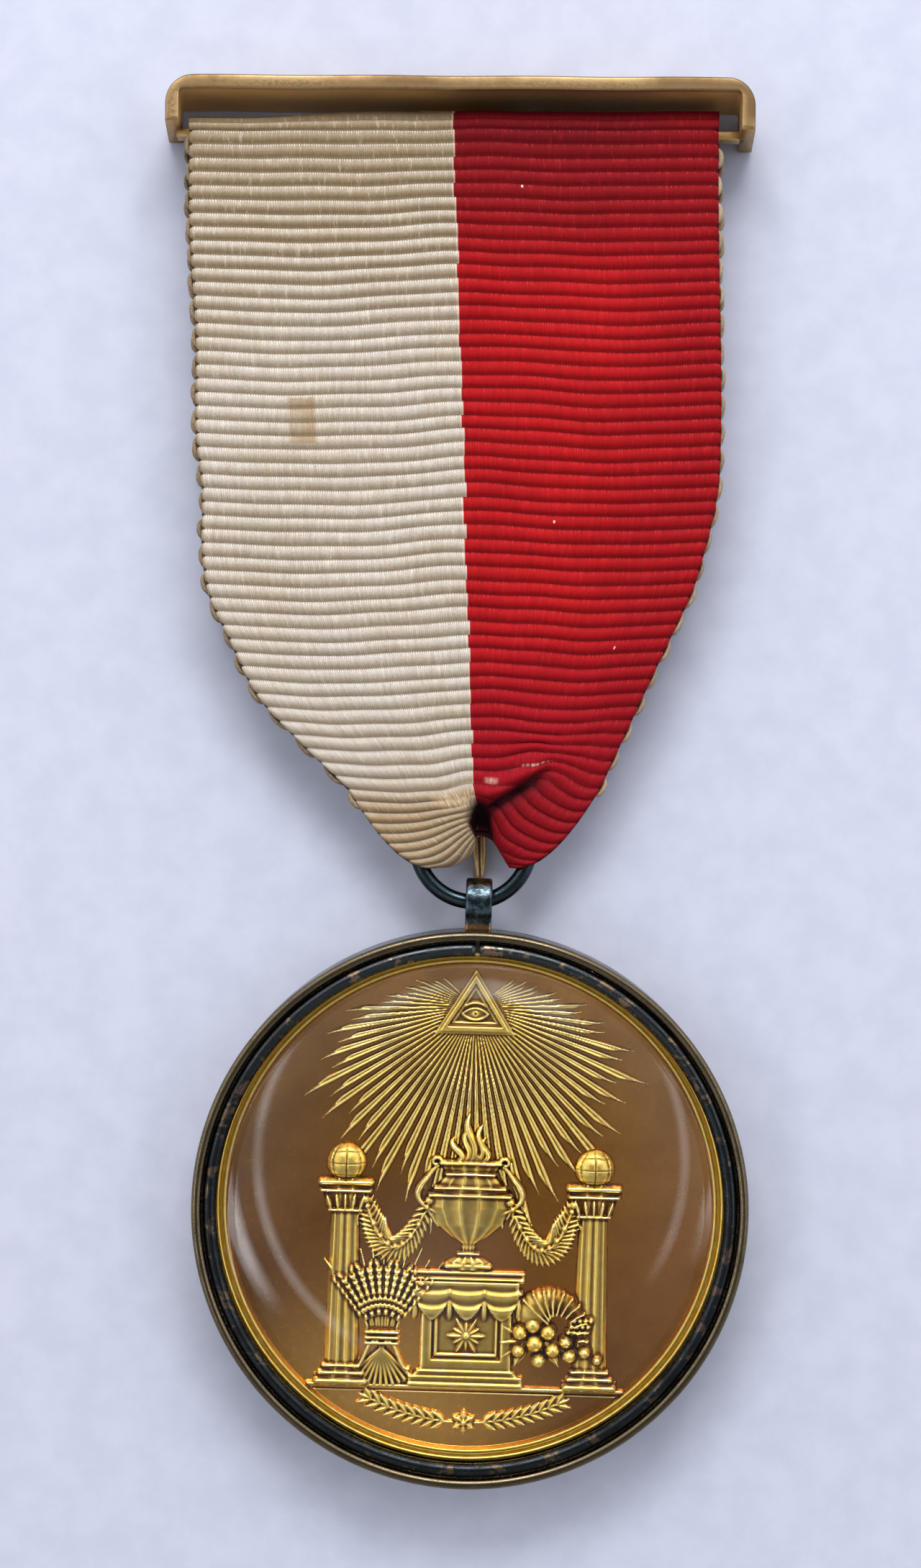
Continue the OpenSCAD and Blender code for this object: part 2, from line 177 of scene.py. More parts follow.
def new_piece(name, points, faces, material, **numbers):
    """A smooth mesh on the jewel's one body, from points in millimetres, with named numbers per vertex."""
    mesh = bpy.data.meshes.new(name)
    mesh.from_pydata((np.asarray(points, float) * MM).tolist(), [], faces)
    mesh.validate()
    mesh.polygons.foreach_set("use_smooth", [True] * len(mesh.polygons))
    mesh.materials.append(material)
    for key, values in numbers.items():
        attribute = mesh.attributes.new(key, "FLOAT", "POINT")
        attribute.data.foreach_set("value", np.asarray(values, np.float32))
    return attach(placed(name, mesh), "root")


def dress(piece, node):
    """Hides the CAD node that a piece stands in for."""
    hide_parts(node)


def joined(parts):
    """Points, faces and wear of several (points, faces, wear) shapes as one mesh."""
    points, faces, wear, offset = [], [], [], 0
    for part_points, part_faces, part_wear in parts:
        points.append(part_points)
        wear.append(part_wear)
        faces += [[v + offset for v in face] for face in part_faces]
        offset += len(part_points)
    return np.concatenate(points), faces, np.concatenate(wear)


def grid_faces(rows, columns, close_rows=False, close_columns=False):
    """Quads between the points of a grid that is stored row by row."""
    i, j = np.meshgrid(np.arange(rows if close_rows else rows - 1),
                       np.arange(columns if close_columns else columns - 1), indexing="ij")
    below, right = (i + 1) % rows, (j + 1) % columns
    quads = np.stack([i * columns + j, i * columns + right, below * columns + right, below * columns + j], -1)
    return quads.reshape(-1, 4).tolist()


def tube_faces(rows, columns):
    """The faces of a tube of closed rows, with one face over each end."""
    first, last = range(columns - 1, -1, -1), range((rows - 1) * columns, rows * columns)
    return grid_faces(rows, columns, close_columns=True) + [list(first), list(last)]


def mix(a, b, t):
    return a + (b - a) * t


def flat(x, y):
    """Points in a plane from their x and y, of which one may be a single number."""
    return np.stack(np.broadcast_arrays(x, y), -1).astype(float)


def unit(vectors):
    return vectors / np.linalg.norm(vectors, axis=-1, keepdims=True)


def bezier(a, b, c, t):
    return mix(mix(a, b, t), mix(b, c, t), t)


def smoothstep(x, low, high):
    t = np.clip((x - low) / (high - low), 0, 1)
    return t * t * (3 - 2 * t)


def dome(t):
    """Height of a half circle over -1..1, and 0 beyond."""
    return np.sqrt(np.clip(1 - t * t, 0, 1))


def filleted(corners, steps=4):
    """A closed outline with rounded corners, from rows of (x, y, radius), and its wear at each point."""
    outline, wear = [], []
    for k, (x, y, radius) in enumerate(corners):
        here = np.array([x, y], float)
        before = unit(corners[k - 1][:2] - here)
        after = unit(corners[(k + 1) % len(corners)][:2] - here)
        if radius == 0:
            outline.append(here)
            wear.append(1.0)
            continue
        half = math.acos(np.clip(before @ after, -1, 1)) / 2
        reach = radius / math.tan(half)
        middle = here + unit(before + after) * radius / math.sin(half)
        start, end = here + before * reach - middle, here + after * reach - middle
        for s in np.linspace(0, 1, steps + 1):
            outline.append(middle + unit(mix(start, end, s)) * radius)
            wear.append(1 - CORNER_FADE * abs(2 * s - 1))
    return np.array(outline), np.array(wear)


def lathe(profile, wear, steps, start=0.0, end=2 * math.pi):
    """Rows of (radius, z) turned about Z; a row on the axis is one point, and an open sweep gets ends."""
    whole = abs(end - start - 2 * math.pi) < 1e-9
    angles = np.linspace(start, end, steps, endpoint=not whole)
    points = np.stack([np.outer(np.cos(angles), profile[:, 0]), np.outer(np.sin(angles), profile[:, 0]),
                       np.tile(profile[:, 1], (steps, 1))], -1).reshape(-1, 3)
    n = len(profile)
    faces = grid_faces(steps, n, close_rows=whole, close_columns=True)
    if not whole:
        faces += [list(range(n)), list(range(len(points) - 1, len(points) - n - 1, -1))]
    wear = np.tile(wear, steps)
    if not profile[:, 0].all():
        own = np.arange(len(points))
        own = np.where(profile[own % n, 0] == 0, own % n, own)
        faces = [[own[v] for k, v in enumerate(face) if own[v] != own[face[k - 1]]] for face in faces]
        faces = [face for face in faces if len(face) > 2]
        used, index = np.unique(np.concatenate(faces), return_inverse=True)
        cuts = np.cumsum([len(face) for face in faces])[:-1]
        points, wear, faces = points[used], wear[used], [f.tolist() for f in np.split(index, cuts)]
    return points, faces, wear


def sweep(path, widths, section, wear):
    """A section of (across, up) rows carried along a flat path, widened at each point, with closed ends."""
    along = unit(np.gradient(path, axis=0))
    normal = np.stack([along[:, 1], -along[:, 0]], -1)
    across = section[:, 0] * np.asarray(widths, float)[:, None]
    points = np.empty((len(path), len(section), 3))
    points[..., :2] = path[:, None] + normal[:, None] * across[..., None]
    points[..., 2] = section[:, 1]
    return points.reshape(-1, 3), tube_faces(len(path), len(section)), np.tile(wear, len(path))


def turned_by(points, angle):
    """Points turned clockwise about the Z axis."""
    c, s = math.cos(angle), math.sin(angle)
    x, y, z = np.asarray(points, float).T
    return np.stack([c * x + s * y, c * y - s * x, z], -1)


# Node graphs


class Graph:
    """The nodes of a material or of the world, written as short expressions."""

    def __init__(self, owner, output="ShaderNodeOutputMaterial"):
        self.owner = owner
        owner.use_nodes = True
        self.tree = owner.node_tree
        self.tree.nodes.clear()
        self.output = self.node(output)

    def node(self, kind, inputs=(), **settings):
        """A node of a kind, with what feeds its inputs, by name or by place, and its settings."""
        made = self.tree.nodes.new(kind)
        for name, value in settings.items():
            setattr(made, name, value)
        for key, value in dict(inputs).items():
            self.feed(made.inputs[key], value)
        return made

    def feed(self, socket, value):
        """Links an output to a socket, or sets the socket's own value."""
        if isinstance(value, bpy.types.NodeSocket):
            self.tree.links.new(value, socket)
        elif socket.type == "RGBA" and len(value) == 3:
            socket.default_value = (*value, 1.0)
        else:
            socket.default_value = value

    def math(self, operation, a, b=0.0, c=0.0):
        return self.node("ShaderNodeMath", {0: a, 1: b, 2: c}, operation=operation).outputs[0]

    def vector(self, operation, inputs):
        return self.node("ShaderNodeVectorMath", inputs, operation=operation).outputs

    def parts(self, vector):
        """The x, y and z of a vector."""
        return self.node("ShaderNodeSeparateXYZ", {0: vector}).outputs

    def joint(self, *numbers):
        """A vector of up to three numbers."""
        return self.node("ShaderNodeCombineXYZ", dict(enumerate(numbers))).outputs[0]

    def blend(self, share, a, b, mode="MIX"):
        """Colour b over colour a; a mix node's inputs 6 and 7 and its output 2 are its colours."""
        made = self.node("ShaderNodeMix", data_type="RGBA", blend_type=mode)
        self.feed(made.inputs[0], share)
        self.feed(made.inputs[6], a)
        self.feed(made.inputs[7], b)
        return made.outputs[2]

    def step(self, value, low, high, to_low=0.0, to_high=1.0, smooth=True):
        """value taken from low..high to to_low..to_high."""
        inputs = {"Value": value, "From Min": low, "From Max": high, "To Min": to_low, "To Max": to_high}
        kind = "SMOOTHSTEP" if smooth else "LINEAR"
        return self.node("ShaderNodeMapRange", inputs, interpolation_type=kind).outputs["Result"]

    def place(self):
        """The point on the jewel in millimetres."""
        return self.vector("SCALE", {0: self.node("ShaderNodeTexCoord").outputs["Object"], 3: 1 / MM})[0]

    def noise(self, where, size, detail, roughness, stretch=(1, 1, 1)):
        """Noise whose lumps are about size millimetres across."""
        scaled = self.vector("MULTIPLY", {0: where, 1: stretch})[0]
        inputs = {"Vector": scaled, "Scale": 1 / size, "Detail": detail, "Roughness": roughness}
        return self.node("ShaderNodeTexNoise", inputs).outputs["Fac"]

    def attribute(self, name):
        return self.node("ShaderNodeAttribute", attribute_name=name).outputs["Fac"]

    def bump(self, height, distance, strength, below=None):
        inputs = {"Height": height, "Distance": distance * MM, "Strength": strength}
        made = self.node("ShaderNodeBump", inputs)
        if below is not None:
            self.feed(made.inputs["Normal"], below)
        return made.outputs["Normal"]

    def times(self, first, *others):
        for other in others:
            first = self.math("MULTIPLY", first, other)
        return first

    def layers(self, colour, rows):
        """A colour with others laid over it in turn, from rows of (share, colour)."""
        for share, over in rows:
            colour = self.blend(share, colour, over)
        return colour

    def principled(self, **inputs):
        """A Principled surface; an input's name is written with _ for each space."""
        named = {name.replace("_", " "): value for name, value in inputs.items()}
        return self.surface(self.node("ShaderNodeBsdfPrincipled", named))

    def surface(self, shader):
        self.tree.links.new(shader.outputs[0], self.output.inputs["Surface"])
        return self.owner


# Case, loop, rings and glass


def make_case(material):
    """The turned cup: a plain back, a rim, and a ledge for the glass; its inside isn't worn."""
    inner_r = CASE_R - RIM_T
    cup_r = inner_r - LEDGE_W
    ledge_z = medal_high[2] + SEAT_GAP
    outline, wear = filleted([(0, 0, 0), (CASE_R, 0, 0.3), (CASE_R, CASE_H, 0.34), (inner_r, CASE_H, 0.34),
                              (inner_r, ledge_z, 0.05), (cup_r, ledge_z, 0.08), (cup_r, BACK_T, 0.1),
                              (0, BACK_T, 0)])
    wear[outline[:, 0] < inner_r + SEAT_GAP] = 0
    points, faces, wear = lathe(outline, wear, CASE_STEPS)
    dress(new_piece("case_shell", turned_by(points, CASE_TURN), faces, material, wear=wear), "case")


def make_loop(material):
    """The loop: a strap bent round its hole, whose neck runs into the case's rim."""
    middle_y = CASE_R + LOOP_REACH
    angles = np.linspace(0, 2 * math.pi, LOOP_STEPS, endpoint=False)
    sides, down = np.abs(np.sin(angles)) + 1e-9, np.abs(np.cos(angles)) + 1e-9
    neck = np.minimum(LOOP_NECK * LOOP_R / sides, (LOOP_REACH + LOOP_SUNK) / down)
    outer = np.maximum(LOOP_R, np.where(np.cos(angles) < 0, neck, 0))
    section, _ = filleted([(0, -LOOP_W / 2, 0.2), (1, -LOOP_W / 2, 0.22), (1, LOOP_W / 2, 0.22),
                           (0, LOOP_W / 2, 0.2)], 3)
    reach = LOOP_HOLE_R + np.clip(section[:, 0], 0, 1) * (outer - LOOP_HOLE_R)[:, None]
    points = np.stack([np.tile(section[:, 1], (LOOP_STEPS, 1)), middle_y + reach * np.cos(angles)[:, None],
                       MID_Z + reach * np.sin(angles)[:, None]], -1).reshape(-1, 3)
    y = points[:, 1]
    shoulder, foot = (y - (middle_y + RUBBED_FROM)) / 0.4, (CASE_R + SOLDER_H - y) / 0.5
    faces = grid_faces(LOOP_STEPS, len(section), close_rows=True, close_columns=True)
    piece = new_piece("case_loop", turned_by(points, CASE_TURN), faces, material,
                      brass=np.clip(np.maximum(shoulder, foot), 0, 1))


def make_wire_ring(node, name, radius, wire_r, centre, z, material, steps, start=0.0, end=2 * math.pi,
                   turn=0.0):
    """A ring of round wire for a CAD node, whole or slit; its top is worn, most of all on its +Y side."""
    around = np.linspace(0, 2 * math.pi, WIRE_SIDES, endpoint=False)
    profile = flat(radius + wire_r * np.cos(around), z + wire_r * np.sin(around))
    wear = np.clip(np.sin(around), 0, 1) ** 2
    points, faces, wear = lathe(profile, wear, steps, start, end)
    wear = wear * mix(0.3, 1, smoothstep(points[:, 1] / radius, 0.2, 1))
    points[:, :2] += centre
    dress(new_piece(name, turned_by(points, turn), faces, material, wear=wear), node)


def make_glass(material):
    """The domed lunette: a flat edge and two nested spherical faces."""
    outer_ball = (DOME_R**2 + DOME_RISE**2) / (2 * DOME_RISE)
    inner_ball = outer_ball - GLASS_T
    ball_z = glass_high[2] - outer_ball
    low_z, edge_z, cut = glass_low[2], glass_low[2] + GLASS_T, GLASS_CHAMFER
    foot_r = math.sqrt(inner_ball**2 - (low_z - ball_z) ** 2)
    rows = [(r, ball_z + math.sqrt(outer_ball**2 - r * r)) for r in np.linspace(0, DOME_R, DOME_ROWS)]
    rows += [(DOME_R + cut, edge_z), (GLASS_R - cut, edge_z), (GLASS_R, edge_z - cut), (GLASS_R, low_z + cut),
             (GLASS_R - cut, low_z)]
    rows += [(r, ball_z + math.sqrt(inner_ball**2 - r * r)) for r in np.linspace(foot_r, 0, DOME_ROWS)]
    points, faces, _ = lathe(np.array(rows), np.zeros(len(rows)), GLASS_STEPS)
    dress(new_piece("glass_dome", points, faces, material), "glass")


# Brooch bar


def bow_line(half, top, radius, foot):
    """One face of the bow: up the left leg, round the corner, along the top and down the right leg."""
    left = [(-half, y) for y in np.linspace(foot, top - radius, LEG_ROWS + 1)[:-1]]
    left += [(-half + radius + radius * math.cos(a), top - radius + radius * math.sin(a))
             for a in np.linspace(math.pi, math.pi / 2, CORNER_STEPS)]
    across = [(x, top) for x in np.linspace(-half + radius, half - radius, BAR_STEPS)[1:-1]]
    line = np.array(left + across + [(-x, y) for x, y in left[::-1]])
    line[:LEG_ROWS, 1] += LEFT_LEG_SHORT * np.linspace(1, 0.14, LEG_ROWS)
    return line


def dense(outline, step):
    """A closed outline with points added, so that none are further apart than step."""
    points = []
    for a, b in zip(outline, np.roll(outline, -1, 0)):
        count = max(1, math.ceil(np.linalg.norm(b - a) / step))
        points += [mix(a, b, k / count) for k in range(count)]
    return np.array(points)


def make_bow():
    """The strip's points, faces, wear, and grime with painted light on its inside; its inner corners are bent
    nearly sharp.
    """
    half, foot, top, front = BAR_W / 2, -PLATE_T / 2, BAR_H - PLATE_T / 2, PIN_T + BAR_D
    outer = bow_line(half, top, BAR_CORNER_R, foot)
    inner = bow_line(half - BAR_T, top - BAR_T, BAR_INNER_R, foot)
    wave = BAR_WAVE * np.sin(0.37 * np.arange(len(outer))[:, None]) * (np.abs(outer[:, 1:] - top) < 0.01)
    section, _ = filleted([(0, BAR_BACK, 0.14), (BAR_T, BAR_BACK, 0.14), (BAR_T, front, 0.16),
                           (0, front, 0.2)], 3)
    section = dense(section, BAR_CELL)
    share, z = section[:, 0] / BAR_T, section[:, 1]
    points = np.empty((len(outer), len(section), 3))
    points[..., :2] = mix(outer[:, None], inner[:, None], share[None, :, None])
    points[..., 0] *= 1 + BAR_FLARE * (front - z) / (front - BAR_BACK) / half
    points[..., 1] += wave
    points[..., 2] = z

    inner_edge = np.exp(-(((section[:, 0] - BAR_T) ** 2 + (z - front) ** 2) / EDGE_WEAR_R**2))
    inside = smoothstep(share, 0.75, 0.98) * (1 - inner_edge)
    # painted light: a pale, dull coat on the bow's inside, most at its left end
    dull_coat = inside * np.interp(points[..., 0], *PAINTED_LIGHT_ROWS.T)
    grime = np.maximum(dull_coat, BACK_GRIME * smoothstep(-z, -1.6, -0.6))
    grime[[0, -1]] = HIDDEN_GRIME
    wear = np.tile(0.4 * inner_edge, len(outer))
    return points.reshape(-1, 3), tube_faces(*points.shape[:2]), wear, grime.ravel()


def box_section(half_width, low, high, radius):
    """A rectangle with rounded corners and its wear, for sweep."""
    return filleted([(-half_width, low, radius), (half_width, low, radius), (half_width, high, radius),
                     (-half_width, high, radius)], 3)


def make_bar(material):
    """The bow's strip, the plate across its legs and the split pin soldered behind."""
    bow_points, bow_faces, bow_wear, bow_grime = make_bow()
    half, foot_top = (BAR_W - BAR_T) / 2, BAR_H - PLATE_T / 2
    xs = np.linspace(-half, half, PLATE_STEPS)
    plate_section = box_section(PLATE_T / 2, MID_Z - PLATE_D / 2, MID_Z + PLATE_D / 2, 0.08)
    plate = sweep(flat(xs, 0), np.ones(len(xs)), *plate_section)
    ys = np.linspace(foot_top - BAR_T - PIN_FOOT_DROP, foot_top, 8)
    foot = sweep(flat(0, ys), [0.94, 0.985, 1, 1, 1, 1, 0.985, 0.95],
                 *box_section(PIN_FOOT_W / 2, 0, PIN_T, 0.12))
    prongs = [prong(side, foot_top - BAR_T) for side in (-1, 1)]
    points, faces, wear = joined([(bow_points, bow_faces, bow_wear), plate, foot, *prongs])
    grime = np.concatenate([bow_grime, np.full(len(points) - len(bow_grime), HIDDEN_GRIME)])
    points = turned_by(points, BAR_TURN) + [*PLATE_POS, 0]
    dress(new_piece("bar_bow", points, faces, material, wear=wear, grime=grime), "brooch_bar")


def prong(side, top):
    """One half-round prong of the split pin, down to its tapered point."""
    length = math.hypot(*(PLATE_POS - RING_POS)) + PIN_PAST_RING
    width = (PIN_W - PIN_SLIT) / 2
    taper_y = PIN_TAPER - length
    ys = np.concatenate([np.linspace(top, taper_y, PRONG_STEPS), np.linspace(taper_y, -length, 9)[1:]])
    shares = np.interp(ys, [-length, -length + 0.25, taper_y, top], [0.42, 0.62, 1, 1])
    around = np.linspace(-math.pi / 2, math.pi / 2, 9)
    section = np.array([(math.cos(a), PIN_T / 2 * (1 + math.sin(a))) for a in around])
    points, faces, wear = sweep(flat(side * PIN_SLIT / 2, ys), -side * shares * width, section,
                                0.35 + 0.65 * np.sin(around) ** 2)
    if side > 0:
        faces = [face[::-1] for face in faces]
    return turned_by(points, -PIN_LEAN), faces, wear


# Ribbon

# A place across the ribbon is a station n: -1 at its left edge, 0 about at the seam and 1 at its right edge.
# A place along it is counted in ribs from the plate. The front's run and lobe are side 1, the back's are
# side -1, and skin is how deep a face of the cloth lies: 0 for the outer one and CLOTH_T for the inner one.
HALF_RIBBON = RIBBON_W / 2
FRONT_RUN = PLATE_POS[1] - (RING_POS[1] + RING_R)
RIBBON_TOP_X = PLATE_POS[0] - RIBBON_LAY
RIBS = 48
TOP_RIBS = 6
RIB_PITCH = FRONT_RUN / RIBS
RIB_DEPTH = 0.3
EDGE_DROP = 0.22
WIRE_GAP = 0.03
FOLD_REACH = 2.0
VALLEY_DEPTH = 2.4
SQUEEZED_RIBS = 5.2
HIDDEN_RIBS = 4.6
# painted shade laid all over the cloth's inner skin
INNER_SHADE = 0.85

# rows of points down each run and each lobe, and how far its ribs hang
RUN_ROWS = {1: 336, -1: 192}
LOBE_ROWS = {1: 128, -1: 88}
HANG = {1: 1, -1: 0.4}
VALLEY_ROWS = 8
TOP_ROWS = 48
INNER_STEP = 8

# the weft cord's turns at the edges
CORD_STEPS = 9
CORD_SIDES = 8
CORD_R = 0.2
CORD_SPREAD = (0.75, 1.2)
CORD_STAND = (0.24, 0.38)
CORD_SUNK = 0.12
CORD_TUCKED = 0.16
CORD_SEED = 7

# share of the way from the plate to the ring, left half width, right half width (shares of half the ribbon)
EDGE_ROWS = np.array([[0, 1, 1], [0.14, 1.01, 0.99], [0.32, 1, 0.985], [0.47, 1.01, 0.975],
                      [0.54, 0.995, 0.963], [0.65, 1, 0.895], [0.7, 0.985, 0.853], [0.77, 0.913, 0.766],
                      [0.87, 0.79, 0.642], [0.93, 0.653, 0.568], [1, 0.476, 0.482]])
# station across the ribbon and how far its ribs stand above their level there
SAG_ROWS = np.array([[-1, 0], [-0.65, -0.28], [-0.3, -0.12], [0, 0.28], [0.25, 0.1], [0.55, -0.2],
                     [0.8, -0.1], [1, 0.05]])
# station across the ribbon, x and y of the fold inside the ring, in millimetres from the ring's middle
FRONT_FOLD = np.array([[-1, -2.6, -1.67], [-0.75, -1.3, -1.5], [-0.5, -0.2, -0.7], [-0.25, 0.15, 0.5],
                       [-0.1, -0.25, 1.7], [0, 0.35, 2.95], [0.08, 1.0, 2.7], [0.25, 1.3, 1.4],
                       [0.5, 1.6, 0.1], [0.75, 2.25, -1.1], [1, 2.6, -1.66]])
BACK_FOLD = np.array([[-1, -2.6, -1.67], [-0.75, -1.3, -1.5], [-0.5, -0.2, -0.75], [-0.25, 0.15, 0.3],
                      [-0.1, 0.25, 0.5], [0, 0.45, 0.55], [0.08, 0.7, 0.55], [0.25, 1.15, 0.4], [0.5, 1.6, 0],
                      [0.75, 2.25, -1.1], [1, 2.6, -1.66]])
# from the ring's middle: a point on the crease beside the notch, its direction, and the knuckle above it
CREASE_AT = np.array([0.62, 2.48])
CREASE_WAY = np.array([0.846, 0.533])
# how much painted shade lies in the crease's groove
CREASE_SHADE = 0.95
KNUCKLE_AT = np.array([4.6, 5.6])
KNUCKLE_SIZE = np.array([2.0, 1.7])
KNUCKLE_H = 0.95
# the middle of the loose threads beside the seam: its station, and its ribs along the cloth
FLOATS_N = -0.2
FLOATS_AT = 49.3

STATIONS = np.concatenate([[-1, -0.994, -0.986, -0.974], np.linspace(-0.955, -0.004, 45),
                           np.linspace(0.004, 0.6, 36), np.linspace(0.617, 0.955, 17),
                           [0.974, 0.986, 0.994, 1]])


def smooth_table(rows, at, column):
    """A column of a table along its first column, as a smooth curve through the rows."""
    x, y = rows[:, 0], rows[:, column]
    slope = np.gradient(y, x)
    i = np.clip(np.searchsorted(x, at, side="right") - 1, 0, len(x) - 2)
    width = x[i + 1] - x[i]
    t = (at - x[i]) / width
    return ((1 + 2 * t) * (1 - t) ** 2 * y[i] + t * (1 - t) ** 2 * width * slope[i]
            + t * t * (3 - 2 * t) * y[i + 1] + t * t * (t - 1) * width * slope[i + 1])


def rib_sag(share, n):
    """How far a rib stands above its level: it sags on the left, rises to the seam and sags on the right."""
    settled = 0.15 + 0.85 * np.clip(share / 0.3, 0, 1)
    ripple = 0.045 * np.sin(9 * n + 14 * share) + 0.035 * np.sin(17 * n - 23 * share)
    ripple = ripple + 0.03 * np.sin(97 * share + n)
    return settled * smooth_table(SAG_ROWS, n, 1) + ripple * (1 - n * n)


def run_point(share, n, peep=0.0):
    """Where a run lies at a share of the way down and a station; peep widens it past the front's edges."""
    middle = mix(RIBBON_TOP_X, RING_POS[0], share)
    left, right = smooth_table(EDGE_ROWS, share, 1), smooth_table(EDGE_ROWS, share, 2)
    half = HALF_RIBBON * np.where(n < 0, left, right) + peep
    return flat(middle + n * half, PLATE_POS[1] - share * FRONT_RUN)


def ring_foot(n):
    """Where the band's edges leave the ring."""
    return RING_POS + RING_R * flat(n * 1.37, -0.45)


def fold_end(n, table, skin):
    """The fold's outline inside the ring; the inner skin ends short of it by the cloth's thickness."""
    end = RING_POS + flat(smooth_table(table, n, 1), smooth_table(table, n, 2))
    source = mix(RING_POS + RING_R * flat(n * 0.5, 1.2), ring_foot(n), (n * n)[:, None])
    return end + skin * unit(source - end)


def rib_relief(ribs):
    """Half-round ribs with narrow furrows: 0 on a rib's crest and -0.8 in a furrow."""
    return np.sqrt(1.05 - (2 * (ribs % 1.0) - 1) ** 2) - 1.025


def knuckle(p):
    """The cloth above the crease is pushed up into a knuckle."""
    x, y = np.moveaxis((p - RING_POS - KNUCKLE_AT) / KNUCKLE_SIZE, -1, 0)
    return KNUCKLE_H * np.exp(-(x**2) - y**2)


def crease(p):
    """(how much of the crease there is, how far above its line, how far along it) at a place on the front."""
    rel = p - RING_POS - CREASE_AT
    along = rel @ CREASE_WAY
    above = rel @ np.array([-CREASE_WAY[1], CREASE_WAY[0]])
    return smoothstep(along, -0.3, 0.9) * (1 - smoothstep(along, 3.6, 6.4)), above, along


def tuck(there, above):
    """Height of the crease: cloth that swells above its line, and a deep, narrow groove below it."""
    swell = 0.5 * np.exp(-(((above - 0.7) / 0.6) ** 2))
    groove = -0.85 * np.exp(-((above / np.where(above > 0, 0.2, 0.5)) ** 2))
    return there * (swell + groove)


def hidden_ribs(n, above, along):
    """Ribs that are tucked out of sight in the crease, so that those below it run down to the right."""
    width = 0.12 + 3.4 * smoothstep(along, 3.0, 7.5)
    share = np.clip(1 - (n - 0.1) / 0.85, 0, 1) ** 1.4
    return np.where(n > 0, HIDDEN_RIBS * share * smoothstep(-above, -width / 2, width / 2), 0)


def lobe_rows(n, side, skin):
    """The gathered cloth from a run's end to its fold: points, ribs along it, and nearness to the fold."""
    start, end = run_point(1.0, n), fold_end(n, FRONT_FOLD if side > 0 else BACK_FOLD, skin)
    t = np.linspace(0, 1, LOBE_ROWS[side], endpoint=False)[:, None, None]
    lobe = bezier(start, mix((start + end) / 2, ring_foot(n), (n * n)[:, None]), end, t)
    lobe[..., 1] += rib_sag(1.0, n) * (1 - t[..., 0]) ** 2 * HANG[side]
    length = np.cumsum(np.linalg.norm(np.diff(lobe, axis=0, prepend=lobe[:1]), axis=-1), axis=0) / RIB_PITCH
    squeezed = SQUEEZED_RIBS * np.exp(-(((n + 0.25) / 0.42) ** 2))
    squeezed = squeezed * (1 - smoothstep(n, -0.32, 0.1) * (side > 0))
    reach = np.minimum(FOLD_REACH, np.linalg.norm(start - end, axis=1))
    near_end = np.clip(1 - np.linalg.norm(lobe - end, axis=-1) / reach, 0, 1)
    return lobe, RIBS + length + squeezed * (length / length[-1]) ** 2.2, near_end


def leg(n, side, skin):
    """One run and its lobe, row by row from the plate to the fold: points, ribs along the cloth, and painted
    shade.
    """
    share = np.linspace(0, 1, RUN_ROWS[side], endpoint=False)[:, None]
    run = run_point(share, n, 0.0 if side > 0 else BACK_PEEP * (1 - share))
    run[..., 1] += rib_sag(share, n) * HANG[side]
    lobe, lobe_ribs, near_end = lobe_rows(n, side, skin)

    p = np.concatenate([run, lobe])
    ribs = np.concatenate([share * RIBS + 0 * n, lobe_ribs])
    down = np.concatenate([share, np.ones((len(lobe), 1))])
    full = np.concatenate([np.ones(run.shape[:2]), np.sqrt(1 - near_end**2)])
    radius = (mix(PLATE_FOLD_R, RING_FOLD_R, down) - skin) * full
    grain = RIB_DEPTH * (full * np.where(down < 1, 1, np.clip(np.abs(n) / 0.2, 0.3, 1)))
    soil = np.zeros(ribs.shape)
    if side > 0:
        p[..., 1] += knuckle(p)
        there, above, along = crease(p)
        ribs = ribs + hidden_ribs(n, above, along)
        waves = 0.1 * np.sin(5 * n + 3 * down + 1) * np.sin(9 * down) + 0.06 * np.sin(11 * n - 8 * down)
        radius += waves * np.sin(np.pi * down) + tuck(there, above) * full
        # painted shade in the crease's groove, and at the fold's end in the notch
        soil = CREASE_SHADE * there * np.exp(-((above / np.where(above > 0, 0.2, 0.75)) ** 2))
        soil[len(run):] = np.maximum(soil[len(run):], near_end**3 * np.exp(-((n / 0.2) ** 2)))
    if skin == 0:
        floats = np.exp(-(((n - FLOATS_N) / 0.15) ** 2) - ((ribs - FLOATS_AT) / 0.75) ** 2)
        grain *= 1 - 0.85 * (side > 0) * floats
        radius += grain * rib_relief(ribs) - EDGE_DROP * smoothstep(np.abs(n), 0.972, 1) ** 2
    wire = RING_WIRE_R + CLOTH_T - skin + WIRE_GAP
    off_wire = np.linalg.norm(p - RING_POS, axis=-1) - RING_R
    lift = np.maximum(radius, np.sqrt(np.clip(wire**2 - off_wire**2, 0, None)))
    return np.concatenate([p, (MID_Z + side * lift)[..., None]], -1), ribs, soil


def valley(n, skin, ribs):
    """The rows that join the front's fold to the back's: in the notch they sink into a valley, darkened there
    with painted shade.
    """
    s = ((np.arange(VALLEY_ROWS) + 0.5) / VALLEY_ROWS)[:, None]
    front, back = fold_end(n, FRONT_FOLD, skin), fold_end(n, BACK_FOLD, skin)
    gap = np.clip(np.linalg.norm(front - back, axis=1) / VALLEY_DEPTH, 0, 1)
    rise = 0.25 * np.cos(np.pi * s) - (0.9 + 0.8 * (skin > 0)) * gap * np.sin(np.pi * s)
    points = np.concatenate([mix(front, back, s[..., None]), (MID_Z + rise)[..., None]], -1)
    return points, ribs + gap * VALLEY_DEPTH * s, smoothstep(gap, 0.02, 0.3) + 0 * s


